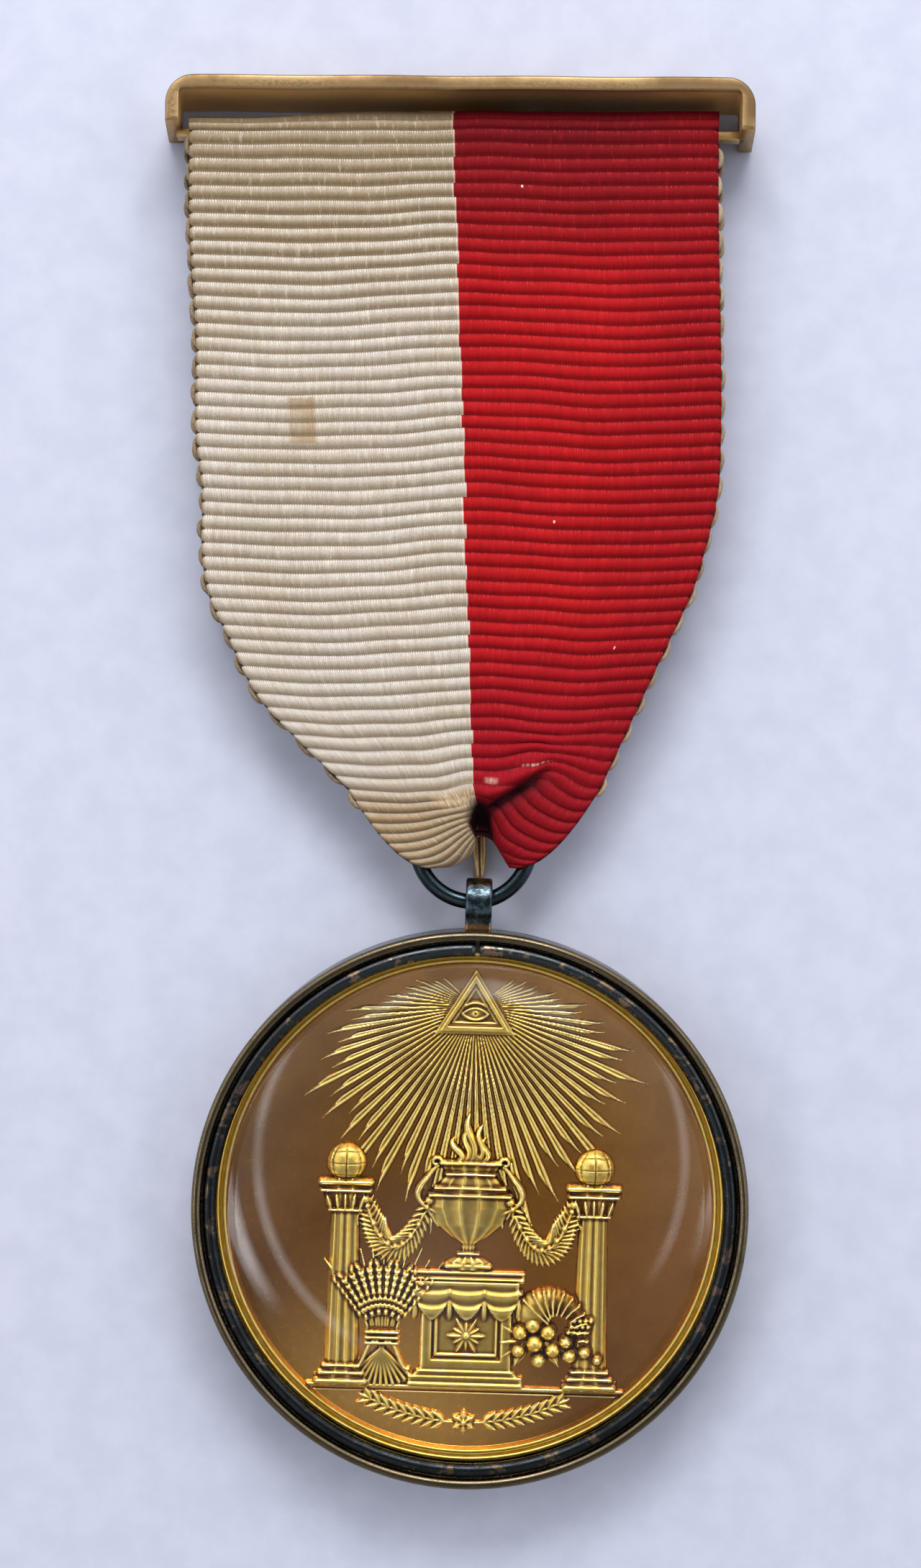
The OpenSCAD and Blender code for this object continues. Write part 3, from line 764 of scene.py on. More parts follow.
def top_fold(n, skin):
    """Over the plate, from the back to the front; it droops towards the left."""
    s = (np.arange(TOP_ROWS) / TOP_ROWS)[:, None]
    ribs = TOP_RIBS / 2 * (np.abs(2 * s - 1) - 1) + 0 * n
    radius = PLATE_FOLD_R - skin + RIB_DEPTH * rib_relief(ribs) * (skin == 0)
    droop = 0.2 + 0.38 * smoothstep(-n, 0.35, 0.8)
    p = run_point(0.0, n, BACK_PEEP * (1 - s))
    y = PLATE_POS[1] + (radius - droop) * np.sin(np.pi * s) + rib_sag(0.0, n) * mix(0.4, 1, s)
    return np.stack([p[..., 0], y, MID_Z - radius * np.cos(np.pi * s)], -1), ribs, 0 * ribs


def cloth_skin(n, skin):
    """The band's whole skin, once round: points, ribs along the cloth, and painted shade, each row by row.

    It starts half an inner step down the front, so that the inner skin has a row in the valley's middle.
    """
    front, back = leg(n, 1, skin), leg(n, -1, skin)
    parts = [front, valley(n, skin, front[1][-1]), [part[::-1] for part in back], top_fold(n, skin)]
    return [np.roll(np.concatenate(columns), -INNER_STEP // 2, 0) for columns in zip(*parts)]


def band_faces(outer_n, inner_n, columns):
    """The faces of both skins, and of the strips that close the cloth along its two edges."""
    base = outer_n * columns
    faces = grid_faces(outer_n, columns, close_rows=True)
    faces += [[base + v for v in face[::-1]] for face in grid_faces(inner_n, columns, close_rows=True)]
    for k in range(inner_n):
        here, after = base + k * columns, base + (k + 1) % inner_n * columns
        for i in range(INNER_STEP):
            a, b = k * INNER_STEP + i, (k * INNER_STEP + i + 1) % outer_n
            faces.append([here, a * columns, b * columns])
            faces.append([here + columns - 1, b * columns + columns - 1, a * columns + columns - 1])
        last = (k + 1) * INNER_STEP % outer_n * columns
        faces.append([here, last, after])
        faces.append([here + columns - 1, after + columns - 1, last + columns - 1])
    return faces


def lay_cloth_uv(mesh, across, along):
    """The place on the flat cloth of each of the mesh's corners: millimetres across and ribs along."""
    corners = np.empty(len(mesh.loops), np.int32)
    mesh.loops.foreach_get("vertex_index", corners)
    layer = mesh.uv_layers.new(name="cloth")
    layer.data.foreach_set("uv", np.stack([across[corners], along[corners]], -1).astype(np.float32).ravel())


def make_ribbon(material):
    """The closed band, with an inner skin that has fewer rows than the outer one."""
    outer, ribs, soil = cloth_skin(STATIONS, 0)
    inner, inner_ribs, inner_soil = (part[::INNER_STEP] for part in cloth_skin(STATIONS, CLOTH_T))
    points = np.concatenate([outer.reshape(-1, 3), inner.reshape(-1, 3)])
    # the inner skin is darkened all over with painted shade
    soil = np.concatenate([soil.ravel(), np.full(inner_soil.size, INNER_SHADE)])
    faces = band_faces(len(outer), len(inner), len(STATIONS))
    piece = new_piece("ribbon_silk", points, faces, material, soil=soil)
    lay_cloth_uv(piece.data, np.tile(STATIONS * HALF_RIBBON, len(outer) + len(inner)),
                 np.concatenate([ribs.ravel(), inner_ribs.ravel()]))
    dress(piece, "ribbon")
    return piece


def selvage_loop(before, middle, after, side, rng):
    """The weft cord's turn from one rib into the next, close against the ribbon's edge."""
    cord_r = CORD_R * rng.uniform(*CORD_SPREAD)
    reach, along = np.linalg.norm(after - before) / 2, unit(after - before)
    up = np.array([0, 0, 1.0])
    out = np.cross(up, along)
    out = unit(out) * side * np.sign(out[0])
    turn = np.linspace(0, math.pi, CORD_STEPS)
    stand = rng.uniform(*CORD_STAND)
    path = middle - (CORD_SUNK if middle[2] > MID_Z else -CORD_SUNK) * up
    path = path - np.outer(np.cos(turn) * reach * 1.25, along)
    path = path + np.outer(np.sin(turn) ** 0.8 * stand - CORD_TUCKED, out)
    flat_side = unit(np.cross(unit(np.gradient(path, axis=0)), up))
    around = np.linspace(0, 2 * math.pi, CORD_SIDES, endpoint=False)[:, None]
    swell = (0.72 + 0.28 * np.sin(turn))[:, None, None] * cord_r
    points = path[:, None] + swell * (np.cos(around) * flat_side[:, None] + 1.3 * np.sin(around) * up)
    shade = np.full(CORD_STEPS * CORD_SIDES, rng.uniform(0, 1))
    return points.reshape(-1, 3), tube_faces(CORD_STEPS, CORD_SIDES), shade


def make_selvage(material):
    """The turns of the weft at both edges of both runs; each joins two ribs, left and right by turns."""
    rng = np.random.default_rng(CORD_SEED)
    turns = []
    for layer in (1, -1):
        points, ribs, _ = leg(np.array([-1.0, 1.0]), layer, 0)
        for column, side in ((0, -1), (1, 1)):
            for at in range(1 if side < 0 else 2, RIBS + 2, 2):
                ats = at + np.array([-0.5, 0, 0.5])
                places = [np.interp(ats, ribs[:, column], points[:, column, k]) for k in range(3)]
                turns.append(selvage_loop(*np.stack(places, -1), side, rng))
    points, faces, shade = joined(turns)
    piece = new_piece("ribbon_selvage", points, faces, material, shade=shade)
    return piece


# Medal

GROUND_Y = -13.2
GLORY_Y = 14.4
PILLAR_X = 9.0
PILLAR_H = 15.0
ALTAR_H = 8.6
URN_H = 9.0
GLOBE_R = 1.45
SHEAF_AT = np.array([-6.1, -9.7])
HORN_AT = np.array([6.3, -9.3])
LAUREL_R = 15.75
RAY_COUNT = 84
RAY_HALF = 0.37
RAY_START = 1.5
RAY_END_R = 16.9
RAY_LENGTHS = np.array([1, 0.86, 0.93, 0.8, 0.9, 0.83])
GROUP_GAIN = 1.5
CELL = 0.065
FOOT_SUNK = 0.02
HIDES_RAYS = 0.12
FIELD_EDGE = 0.08


class Relief:
    """A height field over the medal's field, built up from rounded shapes."""

    def __init__(self):
        self.axis = np.arange(-FIELD_R - CELL, FIELD_R + 2 * CELL, CELL)
        self.height = np.zeros((len(self.axis), len(self.axis)))

    def window(self, x0, y0, x1, y1):
        rows = slice(*np.searchsorted(self.axis, (y0, y1)))
        columns = slice(*np.searchsorted(self.axis, (x0, x1)))
        x, y = np.meshgrid(self.axis[columns], self.axis[rows])
        return (rows, columns), x, y

    def raise_to(self, window, height):
        self.height[window] = np.maximum(self.height[window], np.nan_to_num(height))

    def carve(self, window, depth):
        self.height[window] = np.maximum(self.height[window] - np.nan_to_num(depth), 0)

    def around(self, x, y, reach, angle):
        """The window round a point, and its places along and across an angle."""
        window, gx, gy = self.window(x - reach, y - reach, x + reach, y + reach)
        c, s = math.cos(angle), math.sin(angle)
        return window, (gx - x) * c + (gy - y) * s, -(gx - x) * s + (gy - y) * c

    def bump(self, x, y, rx, ry, height, angle=0.0, power=0.5):
        """A rounded boss."""
        window, u, v = self.around(x, y, max(rx, ry), angle)
        u, v = u / rx, v / ry
        self.raise_to(window, height * np.clip(1 - u * u - v * v, 0, 1) ** power)

    def cord(self, path, radii, height):
        """A rounded cord along a path, with one radius or one at each of its points."""
        radii = np.broadcast_to(radii, len(path))
        for a, b, ra, rb in zip(path[:-1], path[1:], radii[:-1], radii[1:]):
            reach = max(ra, rb)
            window, gx, gy = self.window(*(np.minimum(a, b) - reach), *(np.maximum(a, b) + reach))
            t, gap = off_segment(gx, gy, a, b)
            radius = mix(ra, rb, t)
            self.raise_to(window, height * (radius / max(radii)) ** 0.5 * dome(gap / radius))

    def leaf(self, x, y, angle, length, width, height):
        """A leaf from its foot along its angle, with a midrib and a bent blade."""
        window, u, v = self.around(x, y, length, angle)
        u = u / length
        half = width / 2 * np.sin(np.pi * np.clip(u, 0, 1) ** 0.8)
        t = np.abs(v) / np.maximum(half, 1e-6)
        blade = np.sqrt(np.clip(1 - t**3, 0, 1)) * (0.72 + 0.28 * np.abs(2 * t - 1))
        self.raise_to(window, height * np.where((u > 0) & (u < 1) & (t < 1), blade, 0))

    def turned(self, x, y, rows, size, height, flutes=0, cut=0.07):
        """A turned body from rows of (height, half width) shares, round in section, fluted or plain."""
        rows = np.array(rows) * size
        reach = rows[:, 1].max()
        window, gx, gy = self.window(x - reach, y, x + reach, y + rows[-1, 0])
        half = np.interp(gy - y, rows[:, 0] + 1e-6 * np.arange(len(rows)), rows[:, 1])
        t = np.clip((gx - x) / half, -1, 1)
        body = dome(t) * (half / reach) ** 0.35
        if flutes:
            body = body - cut / height * np.abs(np.cos(flutes * np.arcsin(t))) ** 0.7 * dome(t)
        self.raise_to(window, height * np.where(np.abs(gx - x) < half, body, 0))

    def panel(self, corners, height, bevel):
        """A flat shape with rounded edges, from its corners in order."""
        corners = np.asarray(corners, float)
        window, gx, gy = self.window(*corners.min(0), *corners.max(0))
        share = np.clip(polygon_depth(gx, gy, corners) / bevel, 0, 1)
        self.raise_to(window, height * np.sqrt(share * (2 - share)))

    def ridge(self, cells=4):
        """1 on ridges, 0 in hollows and at the foot of slopes, from each height less the mean round it."""
        mean = self.height
        for axis in (0, 1):
            room = [(cells + 1, cells) if a == axis else (0, 0) for a in (0, 1)]
            total = np.cumsum(np.pad(mean, room, mode="edge"), axis).swapaxes(0, axis)
            mean = ((total[2 * cells + 1:] - total[:-2 * cells - 1]) / (2 * cells + 1)).swapaxes(0, axis)
        return np.clip(0.5 + 2.2 * (self.height - mean), 0, 1)

    def mesh(self, keep):
        """Points, faces, heights and ridges of the cells that stand above the field where keep holds."""
        up = (self.height > 0) & keep
        cell = up[:-1, :-1] | up[1:, :-1] | up[:-1, 1:] | up[1:, 1:]
        rows, columns = np.nonzero(cell)
        width = len(self.axis)
        first = rows * width + columns
        corners = np.stack([first, first + 1, first + width + 1, first + width], -1)
        used, index = np.unique(corners, return_inverse=True)
        height = np.where(up, self.height, 0).ravel()[used]
        x, y = self.axis[used % width], self.axis[used // width]
        points = np.stack([x, y, FIELD_Z - FOOT_SUNK + height], -1)
        return points, index.reshape(-1, 4).tolist(), height, self.ridge().ravel()[used]


def off_segment(x, y, a, b):
    """For each place, how far along from a to b its nearest point is (0..1), and the distance to it."""
    way = np.subtract(b, a)
    t = np.clip(((x - a[0]) * way[0] + (y - a[1]) * way[1]) / max(way @ way, 1e-9), 0, 1)
    return t, np.hypot(x - a[0] - t * way[0], y - a[1] - t * way[1])


def polygon_depth(x, y, corners):
    """Distance inside a polygon's outline, 0 outside it."""
    inside = np.zeros(x.shape, bool)
    nearest = np.full(x.shape, np.inf)
    for a, b in zip(corners, np.roll(corners, -1, 0)):
        nearest = np.minimum(nearest, off_segment(x, y, a, b)[1])
        crosses = (a[1] > y) != (b[1] > y)
        with np.errstate(divide="ignore", invalid="ignore"):
            inside ^= crosses & (x < (b[0] - a[0]) * (y - a[1]) / (b[1] - a[1]) + a[0])
    return np.where(inside, nearest, 0)


def add_rays(relief):
    """Bundles of fine ridged rays round the glory, each with a slanting, pointed end."""
    window, x, y = relief.window(-FIELD_R, -FIELD_R, FIELD_R, FIELD_R)
    y = y - GLORY_Y
    reach, angle = np.hypot(x, y), np.degrees(np.arctan2(y, x)) % 360
    pitch = 360 / RAY_COUNT
    ray = np.floor(angle / pitch).astype(int)
    middle = (ray + 0.5) * pitch
    aside, up = np.cos(np.radians(middle)), np.sin(np.radians(middle))
    room = -GLORY_Y * up + np.sqrt(np.clip(RAY_END_R**2 - (GLORY_Y * aside) ** 2, 0, None))
    length = RAY_LENGTHS[ray % 6] * np.minimum(11.5 + 5.6 * np.clip(-up, 0, 1), room)
    t = (angle - middle) / (RAY_HALF * pitch)
    shoulder = mix(RAY_START, length, 0.82)
    end_share = np.clip((reach - shoulder) / np.maximum(length - shoulder, 1e-6), 0, 1)
    half = 1 - end_share
    across = np.where(end_share > 0, (t - 0.75 * end_share) / np.maximum(half, 1e-6), t)
    on = (reach > RAY_START) & (reach < length) & (np.abs(across) < 1) & (length > 3.2) & (np.abs(t) < 1.1)
    edge = (1 - np.abs(across)) * half * np.radians(RAY_HALF * pitch) * reach
    ridges = (0.5 + 0.5 * np.abs(np.sin(np.pi * t)) ** 0.7) * np.clip(edge / 0.12, 0, 1) ** 0.6
    relief.raise_to(window, np.where(on, 0.4 * ridges, 0))


def add_triangle(relief):
    """The triangle's stepped frame round the eye, on its own small plate."""

    def corners(half, up, down):
        return np.array([[-half, GLORY_Y - down], [half, GLORY_Y - down], [0, GLORY_Y + up]])

    relief.panel(corners(3.0, 2.85, 2.0), 0.3, 0.1)
    relief.panel(corners(2.75, 2.6, 1.85), 0.5, 0.22)
    window, x, y = relief.window(-3, GLORY_Y - 2, 3, GLORY_Y + 3)
    hollow = polygon_depth(x, y, corners(2.0, 1.75, 1.4))
    floor = 0.34 - 0.16 * np.clip(hollow / 0.25, 0, 1)
    relief.height[window] = np.where(hollow > 0, floor, relief.height[window])
    inner = polygon_depth(x, y, corners(1.75, 1.5, 1.25))
    relief.raise_to(window, np.where((inner > 0) & (inner < 0.14), 0.34, 0))
    eye_y = GLORY_Y - 0.5
    relief.bump(0, eye_y, 1.05, 0.62, 0.34, power=0.6)
    lid = np.linspace(-1, 1, 17)
    for up in (1, -1):
        relief.cord(flat(0.95 * lid, eye_y + up * 0.42 * (1 - lid**2)), 0.11, 0.46)
    relief.cord(flat(0.8 * lid, eye_y + 0.52 + 0.3 * (1 - lid**2)), 0.09 + 0.03 * (1 - lid**2), 0.42)
    relief.bump(0, eye_y, 0.3, 0.3, 0.5)
    window, x, y = relief.window(-0.3, eye_y - 0.3, 0.3, eye_y + 0.3)
    relief.carve(window, np.where(np.hypot(x, y - eye_y) < 0.11, 0.2, 0))


# outlines: shares of the height for how high up and how wide to each side
PILLAR_ROWS = [(0, 0.135), (0.05, 0.135), (0.05, 0.115), (0.1, 0.095), (0.1, 0.085), (0.84, 0.07),
               (0.84, 0.09), (0.93, 0.115), (0.93, 0.135), (1, 0.135)]
ALTAR_ROWS = [(0, 0.49), (0.11, 0.49), (0.11, 0.45), (0.17, 0.39), (0.83, 0.39), (0.88, 0.44), (0.88, 0.49),
              (1, 0.49)]
URN_ROWS = [(0, 0.19), (0.06, 0.19), (0.12, 0.07), (0.2, 0.06), (0.26, 0.16), (0.36, 0.28), (0.5, 0.35),
            (0.62, 0.34), (0.7, 0.25), (0.76, 0.2), (0.84, 0.25), (0.88, 0.25)]

# mouldings: shares of the height for how high up and how wide to each side, then radius and height
PILLAR_BARS = [(0.02, 0.135, 0.32, 0.62), (0.06, 0.118, 0.24, 0.6), (0.095, 0.098, 0.18, 0.58),
               (0.845, 0.088, 0.16, 0.6), (0.94, 0.13, 0.2, 0.66), (0.98, 0.14, 0.3, 0.68)]
ALTAR_BARS = [(0.03, 0.495, 0.24, 0.5), (0.09, 0.49, 0.2, 0.48), (0.14, 0.42, 0.18, 0.5),
              (0.86, 0.42, 0.16, 0.5), (0.92, 0.49, 0.2, 0.54), (0.975, 0.495, 0.22, 0.56)]
URN_BARS = [(0.03, 0.2, 0.24, 0.6), (0.13, 0.1, 0.16, 0.6), (0.6, 0.345, 0.2, 0.86),
            (0.66, 0.3, 0.15, 0.8), (0.77, 0.21, 0.16, 0.74), (0.86, 0.26, 0.22, 0.8)]


def bar_across(relief, x, y, half, radius, height):
    """A level rounded bar."""
    relief.cord([[x - half + radius, y], [x + half - radius, y]], radius, height)


def add_mouldings(relief, x, foot, size, rows):
    for at, half, radius, height in rows:
        bar_across(relief, x, foot + at * size, half * size, radius, height)


def add_pillar(relief, x):
    """A fluted pillar with its base, a leafy capital, and a globe with its circles on top."""
    relief.turned(x, GROUND_Y, PILLAR_ROWS, PILLAR_H, 0.58, flutes=6, cut=0.1)
    add_mouldings(relief, x, GROUND_Y, PILLAR_H, PILLAR_BARS)
    for k in range(-2, 3):
        relief.leaf(x + 0.5 * k, GROUND_Y + 0.845 * PILLAR_H, math.radians(90 - 9 * k), 1.25, 0.55, 0.68)
    top = GROUND_Y + PILLAR_H + 0.75 * GLOBE_R
    relief.bump(x, top, GLOBE_R, GLOBE_R, 0.78)
    window, gx, gy = relief.window(x - GLOBE_R, top - GLOBE_R, x + GLOBE_R, top + GLOBE_R)
    u, v = (gx - x) / GLOBE_R, (gy - top) / GLOBE_R
    wide = np.sqrt(np.clip(1 - v * v, 1e-6, 1))
    meridians = np.abs(np.sin(4 * np.arcsin(np.clip(u / wide, -1, 1)))) < 0.2
    parallels = np.abs(np.sin(5 * np.arcsin(np.clip(v, -1, 1)))) < 0.18
    relief.carve(window, np.where((meridians | parallels) & (np.hypot(u, v) < 0.93), 0.06, 0))


def add_altar(relief):
    """The altar with its mouldings and a rosette on its sunk face."""
    size = ALTAR_H
    rise, half = np.array(ALTAR_ROWS).T * size
    relief.panel(np.concatenate([flat(half, rise + GROUND_Y), flat(-half, rise + GROUND_Y)[::-1]]), 0.42, 0.2)
    add_mouldings(relief, 0, GROUND_Y, size, ALTAR_BARS)
    x0, y0, x1, y1 = -0.3 * size, GROUND_Y + 0.23 * size, 0.3 * size, GROUND_Y + 0.76 * size
    window, x, y = relief.window(x0, y0, x1, y1)
    depth = np.minimum(np.minimum(x - x0, x1 - x), np.minimum(y - y0, y1 - y))
    relief.carve(window, 0.2 * np.clip(depth / 0.22, 0, 1))
    relief.raise_to(window, np.where((depth > 0.3) & (depth < 0.48), 0.34, 0))
    middle = (y0 + y1) / 2 - 0.5
    for k in range(12):
        relief.leaf(0, middle, math.radians(30 * k), 1.45 if k % 2 == 0 else 1.1, 0.62, 0.42)
    relief.bump(0, middle, 0.42, 0.42, 0.5)


def add_cloth(relief):
    """A cloth hung over the altar's top in three swags, with a tassel at each end of a swag."""
    top, half = GROUND_Y + 0.9 * ALTAR_H, 0.44 * ALTAR_H
    window, x, y = relief.window(-half, GROUND_Y + 0.5 * ALTAR_H, half, top)
    swag = np.abs(np.cos(np.pi * (x / half) * 1.5))
    drop = 1.3 + 1.5 * swag
    below = (top - y) / drop
    folds = 0.5 + 0.5 * np.cos(2 * np.pi * 2.6 * below * (0.6 + 0.4 * swag))
    relief.raise_to(window, np.where((below > 0) & (below < 1), 0.5 + 0.12 * folds, 0))
    for k in range(4):
        hang = half * (2 * k - 3) / 3
        relief.bump(hang, top - 1.9, 0.34, 1.1, 0.6)
        relief.bump(hang, top - 0.75, 0.34, 0.3, 0.64)


def add_urn(relief):
    """An urn with two curled handles, and flames above it."""
    foot = GROUND_Y + ALTAR_H
    relief.turned(0, foot, URN_ROWS, URN_H, 0.78, flutes=7, cut=0.1)
    add_mouldings(relief, 0, foot, URN_H, URN_BARS)
    t = np.linspace(0, 1, 22)
    curl = np.linspace(0, 1.6 * np.pi, 16)
    curl_r = 0.42 * (1 - curl / 7)
    handle_x = 2.35 + 1.35 * np.sin(np.pi * t) ** 0.8 + 0.25 * np.sin(2 * np.pi * t)
    handle_r = 0.24 - 0.08 * np.cos(2 * np.pi * t)
    curl_x, curl_y = 2.5 - curl_r * np.cos(curl), foot + URN_H * 0.86 + curl_r * np.sin(curl)
    for side in (-1, 1):
        relief.cord(flat(side * handle_x, foot + URN_H * (0.45 + 0.38 * t)), handle_r, 0.6)
        relief.cord(flat(side * curl_x, curl_y), 0.16, 0.56)
    base = foot + 0.87 * URN_H
    tongues = [(-0.8, -0.5, 1.7, 0.42), (-0.45, 0.25, 2.5, 0.46), (0, -0.15, 3.5, 0.6),
               (0.45, 0.35, 2.7, 0.46), (0.85, 0.2, 1.8, 0.4), (-0.15, 0.5, 1.5, 0.4), (0.3, -0.5, 1.4, 0.38)]
    for x, lean, high, radius in tongues:
        t = np.linspace(0, 1, 16)
        path = flat(x + lean * t + 0.32 * np.sin(2 * np.pi * t) * (1 - 0.4 * t), base + high * t)
        relief.cord(path, radius * (1 - t) ** 0.75 * (0.7 + 0.6 * t) + 0.05, 0.66)


def add_garlands(relief):
    """A leafy swag from the urn's shoulder to each pillar's neck, thick in the middle and tied with knots."""
    for side in (-1, 1):
        a = np.array([side * 2.9, GROUND_Y + ALTAR_H + 0.55 * URN_H])
        b = np.array([side * 5.4, -6.4])
        c = np.array([side * (PILLAR_X - 1.4), GROUND_Y + 0.9 * PILLAR_H])
        for k in range(27):
            t = k / 26
            here, ahead = bezier(a, b, c, t), bezier(a, b, c, t + 0.02)
            way = math.atan2(ahead[1] - here[1], ahead[0] - here[0])
            full = 0.75 + 0.6 * math.sin(math.pi * t)
            for turn in (-1, 1):
                relief.leaf(*here, way + turn * math.radians(48), 1.15 * full, 0.5 * full, 0.42)
            if k % 3 == 1:
                relief.bump(*here, 0.27, 0.27, 0.56)
            else:
                relief.leaf(*here, way, full, 0.4, 0.5)
        for end in (a, c):
            relief.bump(*end, 0.42, 0.42, 0.6)
            for lean in (-0.35, 0.35):
                t = np.linspace(0, 1, 12)
                relief.cord(flat(end[0] + lean * t * 1.6 + 0.12 * np.sin(7 * t), end[1] - 1.9 * t),
                            0.17 * (1 - 0.4 * t), 0.4)


def add_sheaf(relief):
    """A sheaf of wheat: stalks through a tie, with rows of grains and beards."""
    x, y = SHEAF_AT
    for k, lean in enumerate(np.radians(np.arange(-38, 39, 7.6))):
        up = np.array([math.sin(lean), math.cos(lean)])
        foot, neck = SHEAF_AT - 3.43 * up, SHEAF_AT + (2.4 - 0.5 * (k % 2)) * up
        relief.cord(np.array([foot, [x + 0.16 * (k - 5), y], neck]), np.array([0.22, 0.16, 0.16]), 0.42)
        side = np.array([up[1], -up[0]])
        for j in range(7):
            at = neck + up * 0.5 * j
            for turn in (-1, 1):
                seed = at + side * turn * 0.24
                relief.bump(*seed, 0.2, 0.38, 0.68, angle=-lean + turn * 0.35)
        relief.cord(np.array([neck + up * 3.4, neck + up * 4.6]), np.array([0.1, 0.06]), 0.36)
    for d in (-0.35, 0.05, 0.45):
        bar_across(relief, x, y + d, 1.35, 0.2, 0.66)
    t = np.linspace(0, 1, 12)
    for lean in (-1, 1):
        path = flat(x + lean * (0.3 + 1.7 * t), y - 0.2 - 1.9 * t + 0.4 * np.sin(6 * t))
        relief.cord(path, 0.24 - 0.08 * t, 0.6)


def add_horn(relief):
    """A horn of plenty: a ribbed horn curling up from its tip, with fruit and leaves at its mouth."""
    t = np.linspace(0, 1, 48)
    angle = np.radians(335 + 160 * t)
    path = HORN_AT + flat(2.2 * np.cos(angle) * (1 - 0.1 * t), 2.5 * np.sin(angle))
    radii = 0.28 + 1.15 * t**1.2
    relief.cord(path, radii, 0.74)
    for k in range(6, 47, 4):
        way = path[k] - path[k - 1]
        side = unit(np.array([-way[1], way[0]])) * radii[k] * 0.88
        relief.cord(np.array([path[k] - side, path[k] + 0.5 * way, path[k] + side]), 0.13, 0.8)
    mouth = path[-1] + [-0.1, -0.9]
    fruits = [(0, 0, 0.75), (1.1, -0.5, 0.7), (-0.9, -0.6, 0.66), (0.15, -1.35, 0.75), (1.5, -1.8, 0.64),
              (-1.0, -1.9, 0.6), (2.4, -1.2, 0.55), (2.7, -2.2, 0.6), (3.8, -1.9, 0.55), (4.7, -2.4, 0.45),
              (0.5, -2.6, 0.6)]
    for k, turn in enumerate((150, 185, 215, 245, -25, -60)):
        relief.leaf(mouth[0] + (0.9 if k > 3 else -0.4), mouth[1] - 1.2, math.radians(turn), 2.2, 1.0, 0.5)
    for dx, dy, radius in fruits:
        relief.bump(mouth[0] + dx, mouth[1] + dy, radius, radius, 0.84)
    for k in range(12):
        relief.bump(9.0 - 0.4 * (k % 4) - 0.2 * (k // 4), -8.0 - 0.42 * (k // 4), 0.28, 0.28, 0.8)


def add_exergue(relief):
    """The ground line with a thin second line, and two laurel sprigs tied by a rosette."""
    half = math.sqrt(FIELD_R**2 - GROUND_Y**2) - 0.05
    bar_across(relief, 0, GROUND_Y, half, 0.2, 0.36)
    bar_across(relief, 0, GROUND_Y - 0.42, half - 0.2, 0.09, 0.2)
    for side in (-1, 1):
        stem = np.radians(-90 + side * np.linspace(3, 25, 24))
        relief.cord(LAUREL_R * flat(np.cos(stem), np.sin(stem)), 0.12, 0.3)
        leaves = [(5 + 2.5 * k, turn, 1.25, 0.55) for k in range(9) for turn in (-34, 34)]
        for along, turn, length, width in [*leaves, (25, 0, 1.2, 0.5)]:
            at = math.radians(-90 + side * along)
            way = at + side * math.pi / 2 + math.radians(turn)
            relief.leaf(LAUREL_R * math.cos(at), LAUREL_R * math.sin(at), way, length, width, 0.34)
    rosette_y = 0.05 - LAUREL_R
    for k in range(6):
        relief.leaf(0, rosette_y, math.radians(60 * k + 30), 0.95, 0.62, 0.4)
    relief.bump(0, rosette_y, 0.32, 0.32, 0.5)


def make_medal(field_material, relief_material):
    """The disc with its raised border, and on its field the glory and, in front of it, the group."""
    top = medal_high[2]
    bevel = [(0, medal_low[2], 0), (MEDAL_R, medal_low[2], 0.15), (MEDAL_R, top, 0.13),
             (MEDAL_R - 0.3, top, 0.14), (MEDAL_R - 0.4, top - 0.3, 0.04), (MEDAL_R - 0.48, top - 0.3, 0.04),
             (MEDAL_R - 0.56, top - 0.06, 0.12), (FIELD_R + 0.1, top - 0.08, 0.12),
             (FIELD_R - 0.05, FIELD_Z, 0.05), (0, FIELD_Z, 0)]
    points, faces, _ = lathe(*filleted(bevel, 3), CASE_STEPS)
    rise = np.clip((points[:, 2] - FIELD_Z) / 0.3, 0, 1)
    dress(new_piece("medal_disc", turned_by(points, CASE_TURN), faces, field_material, relief=rise,
                    ridge=mix(0.5, 0.62, rise)), "medal")

    glory, group = Relief(), Relief()
    add_rays(glory)
    add_triangle(glory)
    for x in (-PILLAR_X, PILLAR_X):
        add_pillar(group, x)
    for add in (add_garlands, add_sheaf, add_horn, add_urn, add_altar, add_cloth, add_exergue):
        add(group)
    group.height *= GROUP_GAIN
    keep = np.hypot(*np.meshgrid(glory.axis, glory.axis)) < FIELD_R - FIELD_EDGE
    behind = keep & ~(group.height > HIDES_RAYS)
    for name, relief, shown in (("medal_glory", glory, behind), ("medal_group", group, keep)):
        points, faces, height, ridge = relief.mesh(shown)
        piece = new_piece(name, turned_by(points, CASE_TURN), faces, relief_material,
                          relief=np.clip(height / 0.03, 0, 1), ridge=ridge)


# Materials

# marks on the ribbon, in millimetres across it and ribs along it: middle, half size, and how softly they end
STAIN = (-11.4, 20.9), (0.75, 1.55), (0.35, 0.25)
FLOATS = (-3.8, FLOATS_AT), (2.6, 0.7), (1.4, 0.3)
RUBBED = (2.6, 47.7), (0.35, 0.06), (0.9, 0.24)
SCUFFED = (8.8, 46.95), (1.0, 0.03), (1.4, 0.1)
SPECKS = [(6.8, 28.5), (13.9, 37.6), (4.8, 4.2)]


